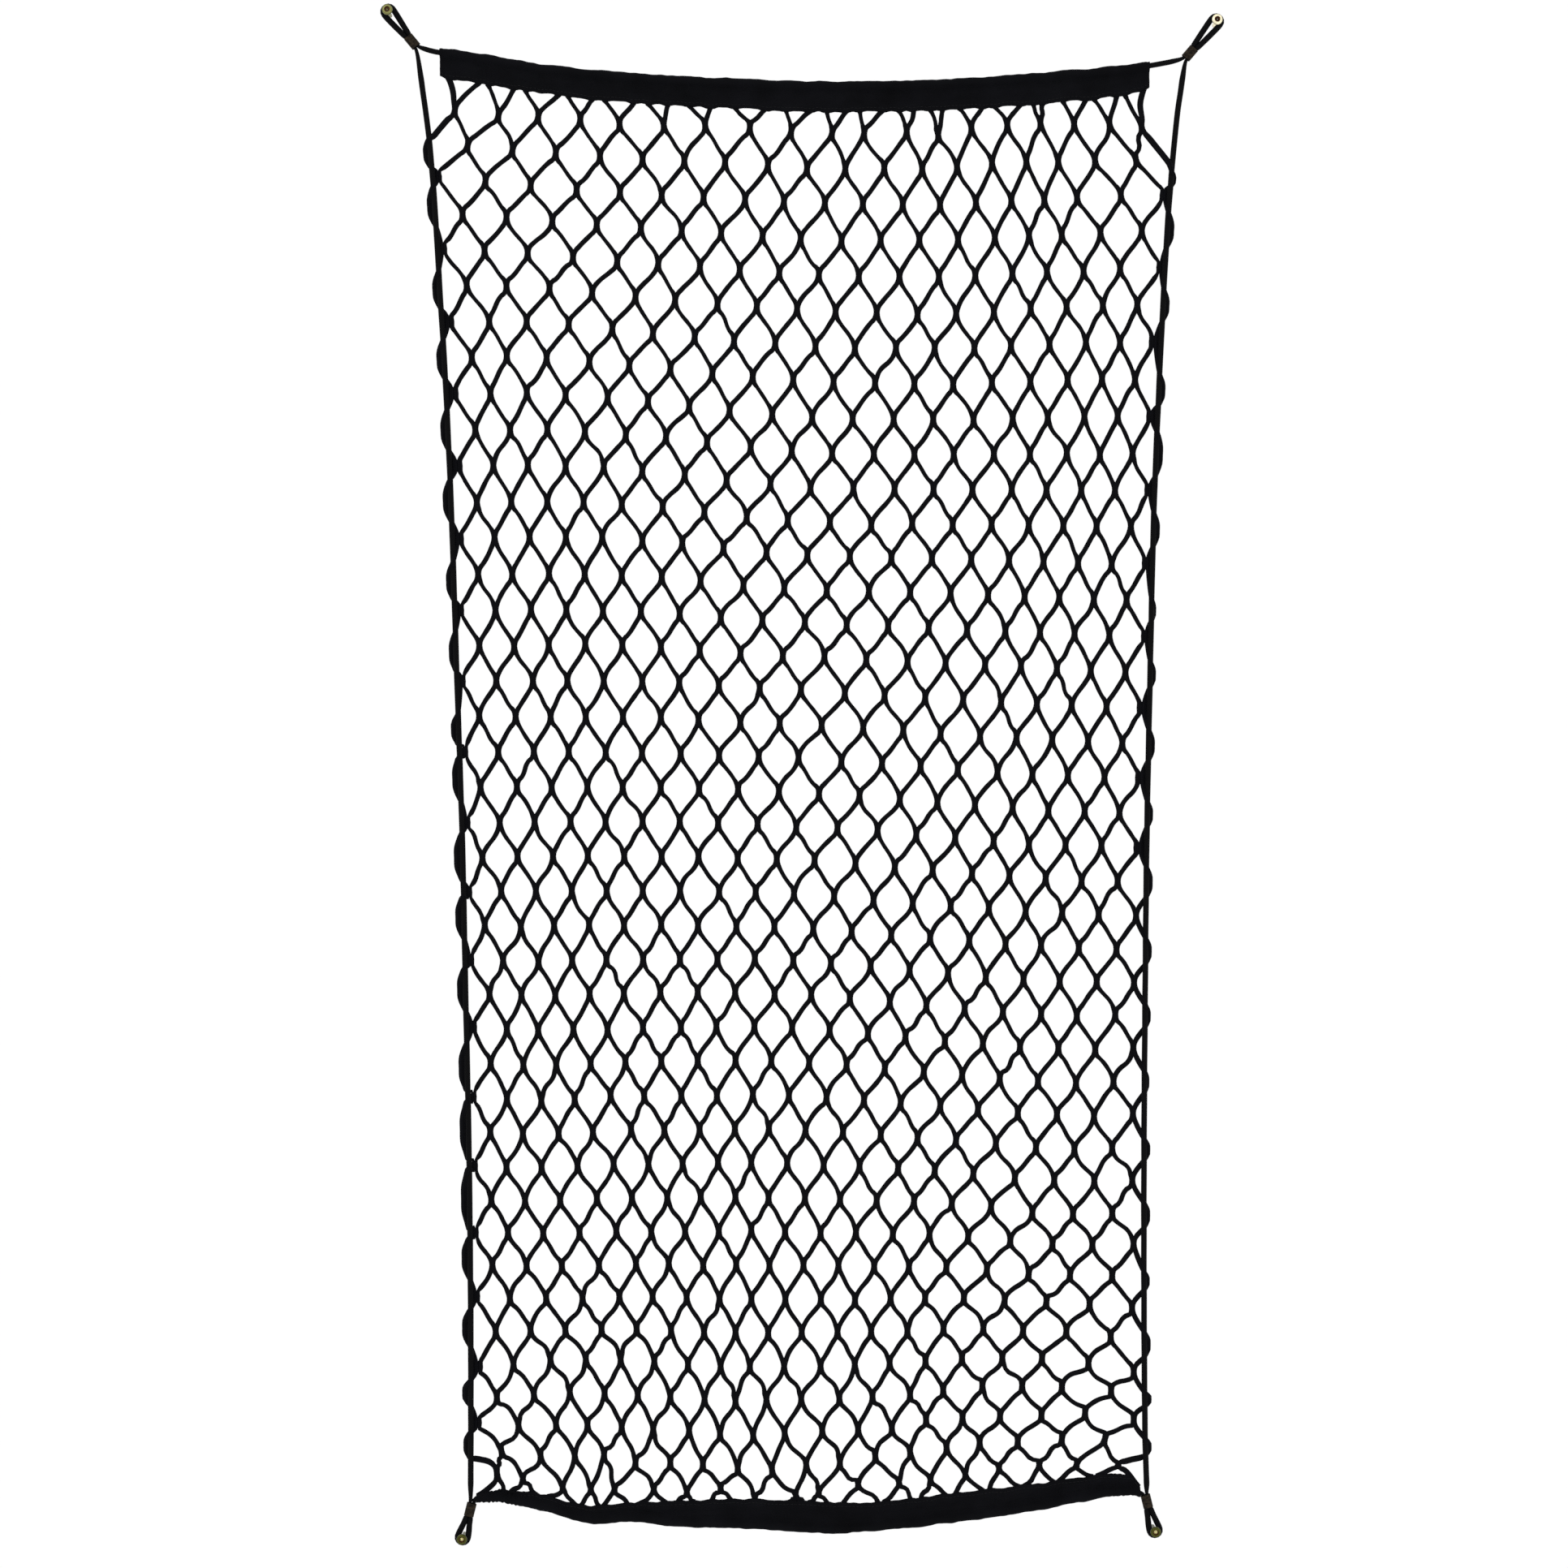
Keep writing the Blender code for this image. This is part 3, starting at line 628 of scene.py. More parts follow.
def brass_material(name, tarnish_and_painted_light):
    """Turned brass. The last argument darkens the rim towards a dark olive, partly
    tarnished tone and partly painted reflection, and paints a highlight on the boss in
    the middle of the head; the recess is painted dark, as painted shade."""
    look = Pattern("pin_brass_" + name, (0.5, 0.45, 0.2), 0.35, metallic=1.0)
    _, along = look.surface()
    patches = look.times(look.math("SUBTRACT", look.noise(520.0, 4.0), 0.5), 0.5)
    # From clean brass to a dark olive: partly tarnished tone, partly painted reflection of dark surroundings.
    clean, tarnished_and_shaded = np.array((0.85, 0.78, 0.55)), np.array((0.055, 0.058, 0.012))
    rim = clean ** (1 - tarnish_and_painted_light) * tarnished_and_shaded**tarnish_and_painted_light
    # Painted shade: the recess in the head is coloured dark.
    recess = np.array((0.06, 0.02, 0.010)) * (1 + tarnish_and_painted_light) * 0.4**tarnish_and_painted_light
    # Painted highlight: the boss is coloured pale on the pins with the darkest rims.
    boss = 0.02 + np.array((0.95, 0.9, 0.4)) * tarnish_and_painted_light**4
    inwards = look.math("DIVIDE", look.math("SUBTRACT", along, RIM_ALONG), HEAD_ALONG)
    ramp = look.node("ShaderNodeValToRGB")
    ramp.color_ramp.elements.remove(ramp.color_ramp.elements[1])
    stops = ((0.0, rim), (0.38, rim), (0.49, recess), (0.74, recess), (0.81, boss))
    for number, (place, colour) in enumerate(stops):
        element = ramp.color_ramp.elements[0] if number == 0 else ramp.color_ramp.elements.new(place)
        element.position = place
        element.color = (*colour, 1.0)
    look.link(inwards, ramp.inputs[0])
    shade = look.node("ShaderNodeHueSaturation")
    look.link(ramp.outputs[0], shade.inputs["Color"])
    look.link(look.plus(patches, 1.0), shade.inputs["Value"])
    look.link(shade.outputs[0], look.shader.inputs["Base Color"])
    rings = look.half_wave(along, 0.35)
    look.mix(patches, 0.3, 0.5, "Roughness", -0.1, 0.2)
    look.bump(look.plus(look.times(rings, 0.5), patches), 0.00003)
    return look.material


def floor_material():
    """A lit white table, as bright in the net's shadow as beside it."""
    look = Pattern("lit_white_floor", (0.03, 0.03, 0.03), 0.9, specular=0.0)
    look.set("Emission Color", (1.0, 1.0, 1.0, 1.0))
    look.set("Emission Strength", 0.975)
    return look.material


# ---- the netting

chance = random.Random(SEED)

# How the outermost twine passes the side cord, between each two edge joints:
# where it comes out past the cord, where it goes back, both from the middle
# between the joints, and how far its outer edge comes from the cord's centre.
# Typed in from what a scratch script printed after a scan of the photo.
CROSSINGS = Table(("row", "left_top", "left_bottom", "left_out", "right_top", "right_bottom", "right_out"), (
    (1, 0, -21, 7.0, -13, -23, 5.0),
    (3, 19, -10, 7.3, 12, -13, 6.6),
    (5, 8, -19, 7.0, 9, -13, 6.2),
    (7, 11, -17, 7.3, 0, -22, 6.2),
    (9, 13, -16, 7.0, 14, -18, 6.6),
    (11, 16, -15, 7.7, 8, -16, 6.2),
    (13, 7, -21, 7.3, -3, -18, 4.6),
    (15, 8, -21, 6.8, 6, -12, 5.6),
    (17, -1, -24, 7.3, 8, -14, 6.0),
    (19, 24, -10, 7.7, 7, -11, 5.6),
    (21, 18, -19, 8.3, 10, -12, 6.2),
    (23, 24, -9, 8.2, 7, -12, 6.0),
    (25, 20, -13, 7.9, 7, -10, 5.6),
    (27, 13, -24, 8.1, 6, -10, 4.8),
    (29, 24, -22, 8.3, 5, -11, 6.0),
    (31, 24, -24, 8.1, 6, -13, 6.0),
    (33, 22, -11, 8.1, 2, -12, 5.6),
    (35, 18, -11, 8.1, 5, -14, 6.2),
    (37, 12, -8, 8.1, 2, -9, 6.6),
    (39, 13, -8, 7.0, 2, -11, 6.0),
))

# The outermost twine's way over the side cord, past it and back under it.
CROSSING = (
    # along, share of the way out, inner edge, height, thickness
    (-1.2, 0.03, -1.9, 6.2, 1.8),
    (-0.85, 0.55, 0.7, 4.6, 1.9),
    (-0.45, 0.97, 1.7, 1.6, 2.1),
    (0.0, 1.0, 1.7, 1.1, 2.1),
    (0.45, 0.97, 1.7, 1.05, 2.1),
    (0.85, 0.55, 0.7, 0.95, 1.8),
    (1.2, 0.03, -1.9, 0.85, 1.6),
)


def even_joint(row, column):
    """Where a joint would lie if the netting hung evenly."""
    place = []
    for table in (NET_X, NET_Y):
        knots = [table.read(name, row) for name in table.columns[1:]]
        place.append(curve_through(COLUMN_KEYS, knots, column))
    return np.array(place)


def uneven_shift(row, column):
    """How far the joints of an uneven row lie from their even places."""
    columns = np.arange(LAST_COLUMN + 1)
    place = [np.interp(column, columns, UNEVEN_ROWS_X[row]), np.interp(column, columns, UNEVEN_ROWS_Y[row])]
    return np.array(place) - even_joint(row, column)


def side_of(twice):
    return "left" if twice < LAST_COLUMN else "right"


def joint_places():
    """Where all the joints lie, by row and by twice their column."""
    places = {}
    last = 2 * LAST_COLUMN
    for row in range(LAST_ROW + 1):
        for twice in range(row % 2, last + 1, 2):
            if row in UNEVEN_ROWS_X:
                place = (UNEVEN_ROWS_X[row][twice // 2], UNEVEN_ROWS_Y[row][twice // 2])
                places[row, twice] = np.array(place, float)
                continue
            place = even_joint(row, twice / 2)
            for pull_row, column, x, y, rows, columns in PULLS:
                away = ((row - pull_row) / rows) ** 2 + ((twice / 2 - column) / columns) ** 2
                place += np.array((x, y)) * math.exp(-away)
            place += uneven_shift(0, twice / 2) * math.exp(-row / 1.6)
            place += uneven_shift(FIRST_UNEVEN_ROW, twice / 2) * math.exp((row - FIRST_UNEVEN_ROW) / 2.5)
            place += (chance.gauss(0, 0.5), chance.gauss(0, 0.5))
            if twice in (0, last) and row > 1:
                cord = SIDE_CORDS.read(side_of(twice), place[1])
                limit = (max, EDGE_JOINT_GAP) if twice == 0 else (min, -EDGE_JOINT_GAP)
                place[0] = limit[0](place[0], cord + limit[1])
            places[row, twice] = place
    for row in range(1, LAST_ROW, 2):
        for twice, edge in ((-1, 0), (last + 1, last)):
            y = (places[row - 1, edge][1] + places[row + 1, edge][1]) / 2
            places[row, twice] = np.array((SIDE_CORDS.read(side_of(twice), y), y))
    for row, feet, band in ((-1, TOP_FEET, TOP_BAND), (LAST_ROW + 1, BOTTOM_FEET, BOTTOM_BAND)):
        for strand in range(last + 2):
            x = feet[strand % 2][strand // 2]
            places[row, strand - 1 + strand % 2, strand % 2] = np.array((x, band.read("inner", x)))
    return places


def neighbour(places, row, twice, step):
    """The joint, or the foot at a band, that is half a column to the left or right."""
    if 0 <= row <= LAST_ROW:
        return places[row, twice + step]
    return places[row, twice + step, step > 0]


def joint_axis(places, row, twice):
    """The way down through a joint, from the two above it to the two below."""
    above, below = [
        neighbour(places, next_row, twice, -1) + neighbour(places, next_row, twice, 1)
        for next_row in (row - 1, row + 1)
    ]
    axis = (below - above) / np.linalg.norm(below - above)
    if twice in (0, 2 * LAST_COLUMN):
        axis = axis + (0, -1)
    return axis / np.linalg.norm(axis)


def joint_points(places, row, twice, side):
    """A twine's points through a joint, at its left (-1) or right (1) side."""
    axis = joint_axis(places, row, twice)
    right = np.array((-axis[1], axis[0]))
    half = SHORT_JOINTS.get((row, twice), JOINT_HALF_LENGTH)
    points = []
    for along in (-half, 0, half + 0.8):
        offset, width = (WEB_OFFSET, WEB_WIDTH) if along else (JOINED_OFFSET, JOINED_WIDTH)
        place = places[row, twice] + axis * along + right * side * offset
        points.append((*place, TWINE_REST_HEIGHT, width, TWINE_HEIGHT))
    return points


def edge_joint_points(places, row, twice, side):
    """A twine's points through a joint beside the side cord. Its two twines
    spread out until they fill the place between the cord and the mesh."""
    place = places[row, twice]
    inwards = 1 if twice == 0 else -1
    reach = abs(place[0] - SIDE_CORDS.read(side_of(twice), place[1])) + JOINED_OFFSET + JOINED_WIDTH / 2
    each = (reach - UNDER_CORD) / 2
    offset = UNDER_CORD + each * (0.5 if side == -inwards else 1.5)
    points = []
    for along in (-1, 0, 1):
        y = place[1] - along * JOINT_HALF_LENGTH
        x = SIDE_CORDS.read(side_of(twice), y) + inwards * offset
        width = (each + 0.25) / RING_SHARE * (0.94 if along else 1.0)
        points.append((x, y, TWINE_REST_HEIGHT - 0.1, width, TWINE_HEIGHT))
    return points


def leg_points(row, start, end, slack):
    """A twine's points down to a row's joint or foot. Near the bottom, a slack
    one that falls to the right bows upwards, and one that falls to the left
    bows either way."""
    start, end = np.array(start[:2]), np.array(end[:2])
    way = end - start
    length = np.linalg.norm(way)
    across = np.array((-way[1], way[0])) / length
    falls_right = way[0] > 0
    width = TWINE_WIDTH * (EDGEWISE_AT_TOP + EDGEWISE_A_ROW * row if falls_right else 1.0)
    bow = min(FULL_BOW, 0.5 * max(0.0, slack - 2.0), 0.13 * length)
    bow *= min(1.0, max(0.0, (row - SLACK_ROW) / 3))
    # At the lower right the legs are nearly straight, and the last ones that
    # fall to the right bow downwards.
    right = min(1.0, max(0.0, (start[0] - 80) / 80))
    if falls_right:
        bow *= (0.9 if chance.random() < 0.85 else -0.5) * (1 - right) - (0.5 if row > 36 else 0.1) * right
    else:
        bow *= (-0.25 - start[0] / 900 + chance.uniform(-0.5, 0.5)) * (1 - 0.5 * right)
    bow += chance.gauss(0, 0.4 + 0.06 * min(slack, 6.0))
    wave = chance.gauss(0, 0.25 + 0.05 * min(slack, 8.0))
    lift = min(1.8, 0.22 * slack) * chance.random()
    points = []
    for t in (0.18, 0.39, 0.61, 0.82):
        sideways = bow * math.sin(math.pi * t) + wave * math.sin(2 * math.pi * t)
        place = start + way * t + across * sideways
        height = TWINE_REST_HEIGHT + lift * math.sin(math.pi * t)
        points.append((*place, height, width * chance.uniform(0.94, 1.05), TWINE_HEIGHT))
    return points


def crossing_ends(places, row, twice):
    """How high the outermost twine comes out past the cord, and goes back."""
    side, y = side_of(twice), places[row, twice][1]
    return y + CROSSINGS.read(side + "_top", row), y + CROSSINGS.read(side + "_bottom", row)


def crossing_points(places, row, twice):
    """The outermost twine's points past the side cord."""
    side = side_of(twice)
    top, bottom = crossing_ends(places, row, twice)
    out = CROSSINGS.read(side + "_out", row)
    points = []
    for along, share, inner, height, thickness in CROSSING:
        y = (top + bottom) / 2 - along * (top - bottom) / 2
        outer = CORD_RADIUS + (out - CORD_RADIUS) * share
        x = SIDE_CORDS.read(side, y) + (1 if side == "right" else -1) * (inner + outer) / 2
        points.append((x, y, height, (outer - inner) / RING_SHARE, thickness))
    return points


def own_way(way, heights, width):
    """An outermost twine's own points, with heights from the first to the last."""
    steps = np.linspace(*heights, len(way))
    return [(x, y, height, width, TWINE_HEIGHT) for (x, y), height in zip(way, steps)]


def twine_path(places, strand):
    """One twine's points, from the top band to the bottom band."""
    parity, last = strand % 2, 2 * LAST_COLUMN + 1
    outermost = {0: LEFT_WAY, last: RIGHT_WAY}.get(strand)
    foot = places[-1, strand - 1 + parity, parity]
    if outermost:
        points = own_way(outermost["start"], (1.9, 1.3), THICK_TWINE)
    else:
        points = [
            (foot[0], foot[1] + 5, 1.9, TWINE_WIDTH, TWINE_HEIGHT),
            (foot[0], foot[1] + 0.3, 1.7, TWINE_WIDTH * 1.2, TWINE_HEIGHT),
        ]
    for row in range(LAST_ROW + 1):
        twice = strand - 1 + parity if row % 2 else strand - parity
        side = (1 if parity else -1) * (-1 if row % 2 else 1)
        crossing = twice in (-1, last)
        if outermost and row in outermost:
            points += own_way(outermost[row], (1.2, 5.6) if row == 1 else (0.9, 1.1), THICK_TWINE)
        if crossing:
            points += crossing_points(places, row, twice)
            continue
        spread = 1 < row < LAST_ROW and (twice == 0 or twice == last - 1 and row < SPREAD_ROWS_RIGHT)
        joint = (edge_joint_points if spread else joint_points)(places, row, twice, side)
        if not outermost:
            slack = max(0.3, LEG_LENGTH - math.dist(points[-2][:2], joint[1][:2])) if row else 0.5
            points += leg_points(row, points[-1], joint[0], slack)
        points += joint
    return points + twine_end(places, strand, points[-1], outermost)


def twine_end(places, strand, start, outermost):
    """A twine's last points, into the bottom band."""
    if outermost:
        return own_way(outermost["end"], (1.2, 2.0), THICK_TWINE * 0.92)
    parity = strand % 2
    foot = places[LAST_ROW + 1, strand - 1 + parity, parity]
    last = (foot[0], foot[1] - 0.3, 1.7, TWINE_WIDTH * 1.15, TWINE_HEIGHT)
    beyond = (foot[0], foot[1] - 5, 1.9, TWINE_WIDTH, TWINE_HEIGHT)
    return [*leg_points(LAST_ROW + 1, start, last, 4.5), last, beyond]


def make_netting(material):
    """The netting's twines, in several pieces, each a group of neighbours."""
    places = joint_places()
    pieces = []
    strands = 2 * LAST_COLUMN + 2
    for first in range(0, strands, TWINES_A_PIECE):
        gather = Gather()
        for strand in range(first, min(first + TWINES_A_PIECE, strands)):
            gather.tube(smooth(twine_path(places, strand), TWINE_SPACING), TWINE_SIDES)
        pieces.append(gather.make(f"netting_twines_{len(pieces) + 1}", material))
    return pieces, places


# ---- the shock cord

CASING_HEIGHT = TAPE_THICKNESS / 2 + CASING_RADIUS
STRAND_RADIUS = CORD_RADIUS * CRIMPED_CORD
STRAND_OFFSET = STRAND_RADIUS + 0.12
FERRULE_LENGTH = 12.4
FERRULE_WALL = 0.9
FERRULE_HALF_HEIGHT = STRAND_RADIUS + 0.2 + FERRULE_WALL
PIN_SHANK_RADIUS = 1.7
PIN_HEAD_RADIUS = 4.7
PIN_HEIGHT = 23.0
PIN_BRIM = PIN_HEIGHT - 3.4
PIN_RECESS = PIN_HEIGHT - 1.8
# The loops hang loosely on the pins, below their heads.
LOOP_RADIUS = PIN_SHANK_RADIUS + CORD_RADIUS + 0.6
LOOP_HEIGHT = 13.5
# How thick the cord is in the loops and along the sides, over its nominal width.
LOOP_SHARE = 1.15
SIDE_SHARE = 1.1

# The cord's own points between each ferrule and the run that it leads to.
# Each is x, y, height and the cord's width there over its free width.
TOP_LEFT_LEAD = ((-342.5, 656.6, 3.0, 0.92), (-335.0, 654.3, 3.5, 1.0))
TOP_RIGHT_LEAD = ((325.0, 643.0, 3.3, 1.0), (335.5, 645.2, 3.0, 0.96))
BOTTOM_RIGHT_LEAD = ((307.0, -650.2, 3.1, 0.74),)
BOTTOM_LEFT_LEAD = ((-297.2, -656.6, 3.0, 0.76),)
SIDE_TOP_LEAD = ((600, 3.4), (618, 3.1), (630, 2.9))
SIDE_BOTTOM_LEAD = ((-624, 3.5), (-634, 3.3), (-642, 3.0))


def corner_frame(corner):
    """A corner's pin, ferrule, the way from ferrule to pin and its left side."""
    row = dict(zip(CORNER_COLUMNS, corner))
    pin = Vector((row["pin_x"], row["pin_y"]))
    ferrule = Vector((row["ferrule_x"], row["ferrule_y"]))
    out = (pin - ferrule).normalized()
    return pin, ferrule, out, Vector((-out.y, out.x))


def corner_loop(corner):
    """The cord's points through the ferrule, round the pin and back."""
    pin, ferrule, out, left = corner_frame(corner)
    half = FERRULE_LENGTH / 2
    strand = []
    for along in (-half - 1, -half / 2, half / 2, half - 0.6):
        strand.append((ferrule + out * along, STRAND_OFFSET, FERRULE_HALF_HEIGHT, CRIMPED_CORD))
    strand.append((ferrule + out * (half + 1.2), 2.1, FERRULE_HALF_HEIGHT + 0.3, 0.96))
    strand.append((ferrule + out * (half + 6.5), 2.6, 4.5, 1.1))
    strand.append((ferrule.lerp(pin, 0.5) + out * (half / 2 + 3.2), 3.8, 8.5, LOOP_SHARE))
    loop = []
    for place, offset, height, width in strand:
        loop.append((*(place + left * offset), height, width))
    for i in range(8):
        turn = math.pi * i / 7
        around = left * math.cos(turn) + out * math.sin(turn)
        loop.append((*(pin + around * LOOP_RADIUS), LOOP_HEIGHT, LOOP_SHARE))
    for place, offset, height, width in reversed(strand):
        loop.append((*(place - left * offset), height, width))
    return loop


def side_run(places, twice):
    """The side cord's points, from top to bottom. It sinks where the twine goes
    over it and rises where the twine goes under it."""
    side = side_of(twice)
    run = []
    for row in range(1, LAST_ROW, 2):
        top, bottom = crossing_ends(places, row, twice)
        run += [(top + 3, SIDE_HEIGHT - SIDE_RISE), ((top + bottom) / 2, SIDE_HEIGHT)]
        run.append((bottom - 3, SIDE_HEIGHT + SIDE_RISE))
    run = [*SIDE_TOP_LEAD[::-1], *run] if run[0][0] < SIDE_TOP_LEAD[0][0] else run
    run = sorted(run, reverse=True) + list(SIDE_BOTTOM_LEAD)
    return [(SIDE_CORDS.read(side, y), y, height, SIDE_SHARE) for y, height in run]


def band_run(band, inward):
    """The cord's points inside a band's casing, from left to right."""
    run = []
    for x in np.linspace(band.keys[0], band.keys[-1], 34):
        run.append((x, band.read("outer", x) + inward * CASING_HEIGHT, CASING_HEIGHT, 1.0))
    return run


def make_cord(places, material):
    """The whole cord, one ring, clockwise from the left side's foot."""
    loops = [corner_loop(corner) for corner in CORNERS]
    route = side_run(places, -1)[::-1] + loops[0] + list(TOP_LEFT_LEAD)
    route += band_run(TOP_BAND, -1) + list(TOP_RIGHT_LEAD) + loops[1]
    route += side_run(places, 2 * LAST_COLUMN + 1) + loops[2] + list(BOTTOM_RIGHT_LEAD)
    route += band_run(BOTTOM_BAND, 1)[::-1] + list(BOTTOM_LEFT_LEAD) + loops[3]
    path = smooth(route, CORD_SPACING, closed=True)
    width = 2 * CORD_RADIUS * path[:, 3:4]
    path = np.hstack([path[:, :3], width, width])
    path[:, 2] = np.maximum(path[:, 2], path[:, 3] / 2)
    gather = Gather()
    gather.tube(path, CORD_SIDES, closed=True)
    return gather.make("shock_cord_braided", material)


# ---- the bands


def soft_step(value):
    value = np.clip(value, 0, 1)
    return value * value * (3 - 2 * value)


def lumps(x, y, size, seed):
    """Smooth noise, from about -1 to 1, in lumps of this size."""
    return 2 * noise.noise(Vector((x / size, y / size, seed * 7.3 + 0.5)))


class Band:
    """A tape folded over the cord, with the ends of the twines between its layers."""

    def __init__(self, table, inward, twines, seed, gathers):
        self.table, self.inward, self.twines = table, inward, np.array(twines)
        self.seed, self.gathers = seed, gathers

    def near_twine(self, x):
        """1 over the twines, 0 between them."""
        return float(1 - soft_step((np.abs(self.twines - x).min() - 2.6) / 4.5))

    def gather_at(self, x):
        """How tightly the band is gathered here, from 0 to 1."""
        return max(float(soft_step(1 - abs(x - end) / reach)) * much for end, reach, much in self.gathers)

    def outer(self, x):
        wave = 0.55 * lumps(x, 0, 19, self.seed) + 0.25 * lumps(x, 5, 6, self.seed)
        wave += 0.5 * self.gather_at(x) * math.sin(x * 1.5 + 2 * lumps(x, 1, 9, self.seed))
        return self.table.read("outer", x) - self.inward * wave

    def width(self, x):
        """From the outer to the inner edge, which comes lower at each twine."""
        width = abs(self.table.read("inner", x) - self.table.read("outer", x))
        return width + 0.9 * self.near_twine(x) - 0.5 + 0.3 * lumps(x, 9, 7, self.seed)

    def top_height(self, x, along):
        """The height of the top layer's middle, along from the outer edge."""
        width = self.width(x)
        over = float(soft_step((along - (width - 11)) / 6))
        height = 1.75 + over * (0.45 + 1.1 * self.near_twine(x))
        height += 0.35 * lumps(x, along, 8, self.seed) * (1 - 0.4 * over)
        height += 0.25 * lumps(x, along * 2, 3.5, self.seed)
        for line in (OUTER_SEAM, width - INNER_SEAM):
            height -= 0.35 * math.exp(-(((along - line) / 0.9) ** 2))
        pleats = math.sin(x * 1.35 + along * 0.15 + lumps(x, along, 12, self.seed))
        height += 0.55 * self.gather_at(x) * pleats
        return max(1.35, height)

    def section(self, x):
        """The tape's middle surface: a distance from the outer edge and a height."""
        width = self.width(x)
        gathered = self.gather_at(x)
        back = np.linspace(0, 1, 7)[:-1]
        points = [(width * (1 - t) + CASING_HEIGHT * t, TAPE_THICKNESS / 2) for t in back]
        for i in range(16):
            turn = math.radians(-90 - 225 * i / 15)
            pleat = 0.3 * gathered * math.sin(x * 1.6 + i * 0.3) * (i > 3)
            radius = CASING_RADIUS + pleat + (0.12 * lumps(x, i * 3, 9, self.seed) if i > 3 else 0)
            points.append((CASING_HEIGHT + radius * math.cos(turn), CASING_HEIGHT + radius * math.sin(turn)))
        along, height = points[-1]
        landing = min(along + height - 1.9, width - 0.6)
        for t in (0.35, 0.7):
            at = along + (landing - along) * t
            points.append((at, height + (self.top_height(x, landing) - height) * float(soft_step(t * 1.05))))
        for t in np.linspace(0, 1, 15):
            at = landing + (width - landing) * t
            points.append((at, self.top_height(x, at)))
        return points

    def make(self, name, material):
        first, last = self.table.keys[0], self.table.keys[-1]
        stations = np.linspace(first, last, round((last - first) / BAND_STEP))
        middle = []
        for x in stations:
            outer = self.outer(x)
            middle.append([(x, outer + self.inward * along, height) for along, height in self.section(x)])
        middle = np.array(middle)
        steps = np.linalg.norm(np.diff(middle, axis=1), axis=2)
        across = np.concatenate([np.zeros((len(stations), 1)), np.cumsum(steps, 1)], 1)
        along = np.repeat(stations[:, None], middle.shape[1], 1)
        if self.inward < 0:
            middle, across, along = middle[:, ::-1], across[:, ::-1], along[:, ::-1]
        gather = Gather()
        gather.sheet(middle, TAPE_THICKNESS, across, along)
        return gather.make(name, material)

    def stitches(self, gather):
        """Two lines of sewing thread along the top of the tape."""
        first, last = self.table.keys[0] + 2, self.table.keys[-1] - 2
        for from_inner, line in ((False, OUTER_SEAM), (True, INNER_SEAM)):
            for x in np.arange(first, last, STITCH):
                points = []
                for part, rise in ((-1.45, -0.35), (-0.9, 0.12), (0, 0.24), (0.9, 0.12), (1.45, -0.35)):
                    at = x + part
                    along = self.width(at) - line if from_inner else line
                    if along > self.width(at) - 0.8 or along < 7.5:
                        break
                    height = self.top_height(at, along) + TAPE_THICKNESS / 2 + rise
                    points.append((at, self.outer(at) + self.inward * along, height, 0.55, 0.5))
                if len(points) == 5:
                    gather.tube(np.array(points), 6)


# ---- the ferrules and pins


def make_ferrule(corner, material):
    """A flattened tube with two dents from the crimping tool and flared mouths."""
    _, centre, out, left = corner_frame(corner)
    sides, steps = 40, 26
    bore = STRAND_RADIUS + 0.2
    half_width, radius = STRAND_OFFSET + bore + FERRULE_WALL, bore + FERRULE_WALL
    rings, length = [], []
    stations = [(t, FERRULE_WALL) for t in np.linspace(-1, 1, steps)]
    stations += [(t, 0.0) for t in np.linspace(1, -1, steps)]
    for t, wall in stations:
        along = t * (FERRULE_LENGTH / 2 - (0.25 if wall else 0.0))
        ends = max(0.0, (abs(t) - 0.86) / 0.14)
        size = wall * (1 - 0.3 * ends**3) + 0.3 * ends**2
        dent = 0.75 * (math.exp(-(((t - 0.42) / 0.2) ** 2)) + math.exp(-(((t + 0.42) / 0.2) ** 2)))
        ring = []
        for i in range(sides):
            turn = 2 * math.pi * (i + 0.5) / sides
            flat = math.copysign(abs(math.cos(turn)) ** 0.8, math.cos(turn))
            across = (half_width - radius) * flat + (bore + size) * math.cos(turn)
            up = (bore + size) * math.sin(turn)
            up -= math.copysign(dent, up) * (wall > 0) * max(0.0, abs(math.sin(turn)) ** 3) * 0.8
            place = centre + out * along + left * across
            ring.append((place.x, place.y, max(0.0, FERRULE_HALF_HEIGHT + up)))
        rings.append(ring)
        length.append(along + FERRULE_LENGTH)
    gather = Gather()
    gather.rings(np.array(rings), np.array([*length, length[0]]), closed=True)
    return gather.make("crimped_" + corner[0], material)


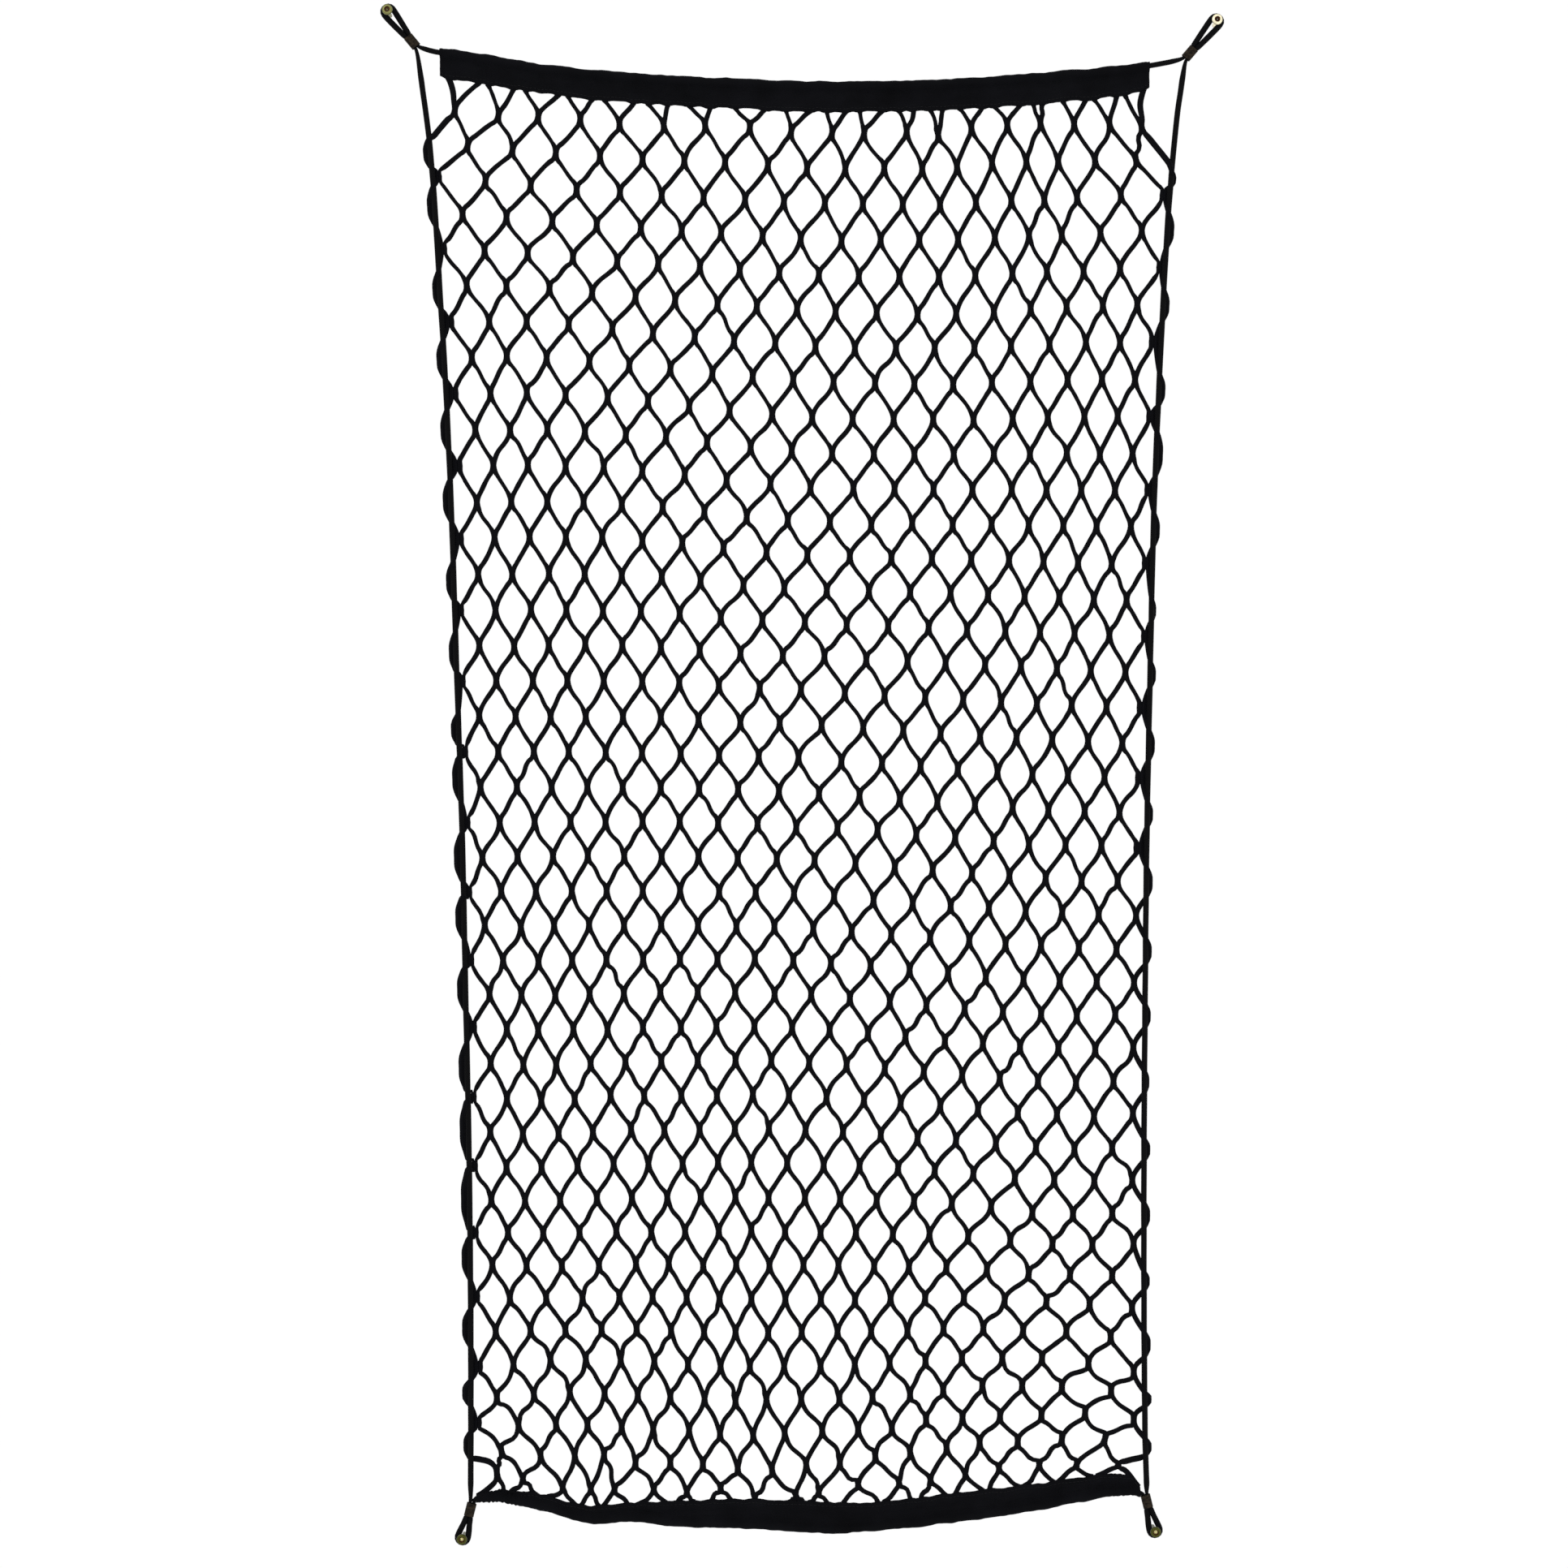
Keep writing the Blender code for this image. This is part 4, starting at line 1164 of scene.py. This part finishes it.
def make_pin(corner, material):
    """A turned pin with a rolled rim, a recess and a small boss in it."""
    place = corner_frame(corner)[0]
    top, radius, brim, floor, sides = PIN_HEIGHT, PIN_HEAD_RADIUS, PIN_BRIM, PIN_RECESS, 56
    shank = PIN_SHANK_RADIUS
    profile = [(shank, 0), (shank, 4), (shank, 12), (shank, brim - 0.7), (shank + 0.15, brim - 0.25)]
    profile += [(shank + 0.7, brim), (radius - 0.8, brim), (radius - 0.25, brim + 0.2)]
    profile += [(radius, brim + 0.75), (radius, top - 1.5), (radius - 0.15, top - 0.85)]
    profile += [(radius - 0.55, top - 0.35), (radius - 1.15, top - 0.08), (radius - 1.6, top)]
    profile += [(2.55, top - 0.1), (2.35, top - 0.45), (2.28, top - 1.1), (2.2, floor + 0.1)]
    profile += [(2.0, floor), (1.1, floor), (1.0, floor + 0.1), (0.9, floor + 0.55)]
    profile += [(0.65, floor + 0.8), (0.3, floor + 0.88)]
    turn = 2 * math.pi * np.arange(sides) / sides
    rings = [
        np.stack([place.x + r * np.cos(turn), place.y + r * np.sin(turn), 0 * turn + height], 1)
        for r, height in profile
    ]
    steps = [math.dist(a, b) for a, b in zip(profile, profile[1:])]
    gather = Gather()
    gather.rings(np.array(rings), np.concatenate([[0.0], np.cumsum(steps)]))
    return gather.make("headed_" + corner[0], material)


# ---- the assembly


def add_light(name, place, size, power):
    """A square light that faces the middle of the net."""
    data = bpy.data.lights.new(name, "AREA")
    data.shape, data.size, data.energy = "SQUARE", size, power
    light = place_object(name, data)
    light.location = place
    light.rotation_euler = (-Vector(place)).to_track_quat("-Z", "Y").to_euler()
    light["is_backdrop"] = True


def add_camera():
    data = bpy.data.cameras.new("camera")
    data.sensor_width = SENSOR
    data.lens = SENSOR * CAMERA_PLACE[2] / FRAME_WIDTH
    camera = place_object("camera", data)
    camera.location = CAMERA_PLACE
    bpy.context.scene.camera = camera


def add_world(strength):
    world = bpy.data.worlds.new("sky")
    world.use_nodes = True
    background = world.node_tree.nodes["Background"]
    background.inputs["Color"].default_value = (1.0, 1.0, 1.0, 1.0)
    background.inputs["Strength"].default_value = strength
    bpy.context.scene.world = world


def settle(piece, slot_name, *nodes):
    """The piece rides on the frame and stands for these CAD nodes."""
    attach(piece, "root")
    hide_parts(*nodes)
    return piece


twines, joints = make_netting(twine_material())
for piece in twines:
    settle(piece, "twine", "netting")
cord = settle(make_cord(joints, braid_material()), "cord", "shock_cord")

tape, thread = tape_material(), thread_material()
top_band = Band(TOP_BAND, -1, np.ravel(TOP_FEET), 1, ((-328, 22, 0.35), (314, 22, 0.35)))
bottom_band = Band(BOTTOM_BAND, 1, np.ravel(BOTTOM_FEET), 2, ((-295, 85, 1.0), (305.5, 50, 0.7)))
bands = ((top_band, "top_band", TOP_TAPE_FLAT), (bottom_band, "bottom_band", BOTTOM_TAPE_FLAT))
for band, name, flat in bands:
    piece = settle(band.make(name + "_tape", tape), "tape", name)
    threads = Gather()
    band.stitches(threads)
    sewing = settle(threads.make(name + "_stitches", thread), "tape", name)

bronze = bronze_material()
for corner in CORNERS:
    settle(make_ferrule(corner, bronze), "bronze", "ferrule_" + corner[0])
    brass = brass_material(corner[0], corner[-1])
    settle(make_pin(corner, brass), "brass", "pin_" + corner[0])

for piece, count in zip(twines, (10, 10, 10, 8)):
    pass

floor_data = bpy.data.meshes.new("floor")
floor_data.from_pydata([(-4, -4, 0), (4, -4, 0), (4, 4, 0), (-4, 4, 0)], [], [(0, 1, 2, 3)])
floor_data.materials.append(floor_material())
floor = place_object("floor", floor_data)
floor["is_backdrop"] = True

bpy.context.scene.view_settings.view_transform = "Standard"
add_world(1.12)
add_light("key", (-1.4, 1.6, 2.6), 1.6, 14)
add_light("fill", (1.6, -0.8, 2.4), 2.0, 10)
add_camera()

visual_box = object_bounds()
plain = [[[float(n) for n in corner] for corner in box] for box in (cad_box, visual_box)]
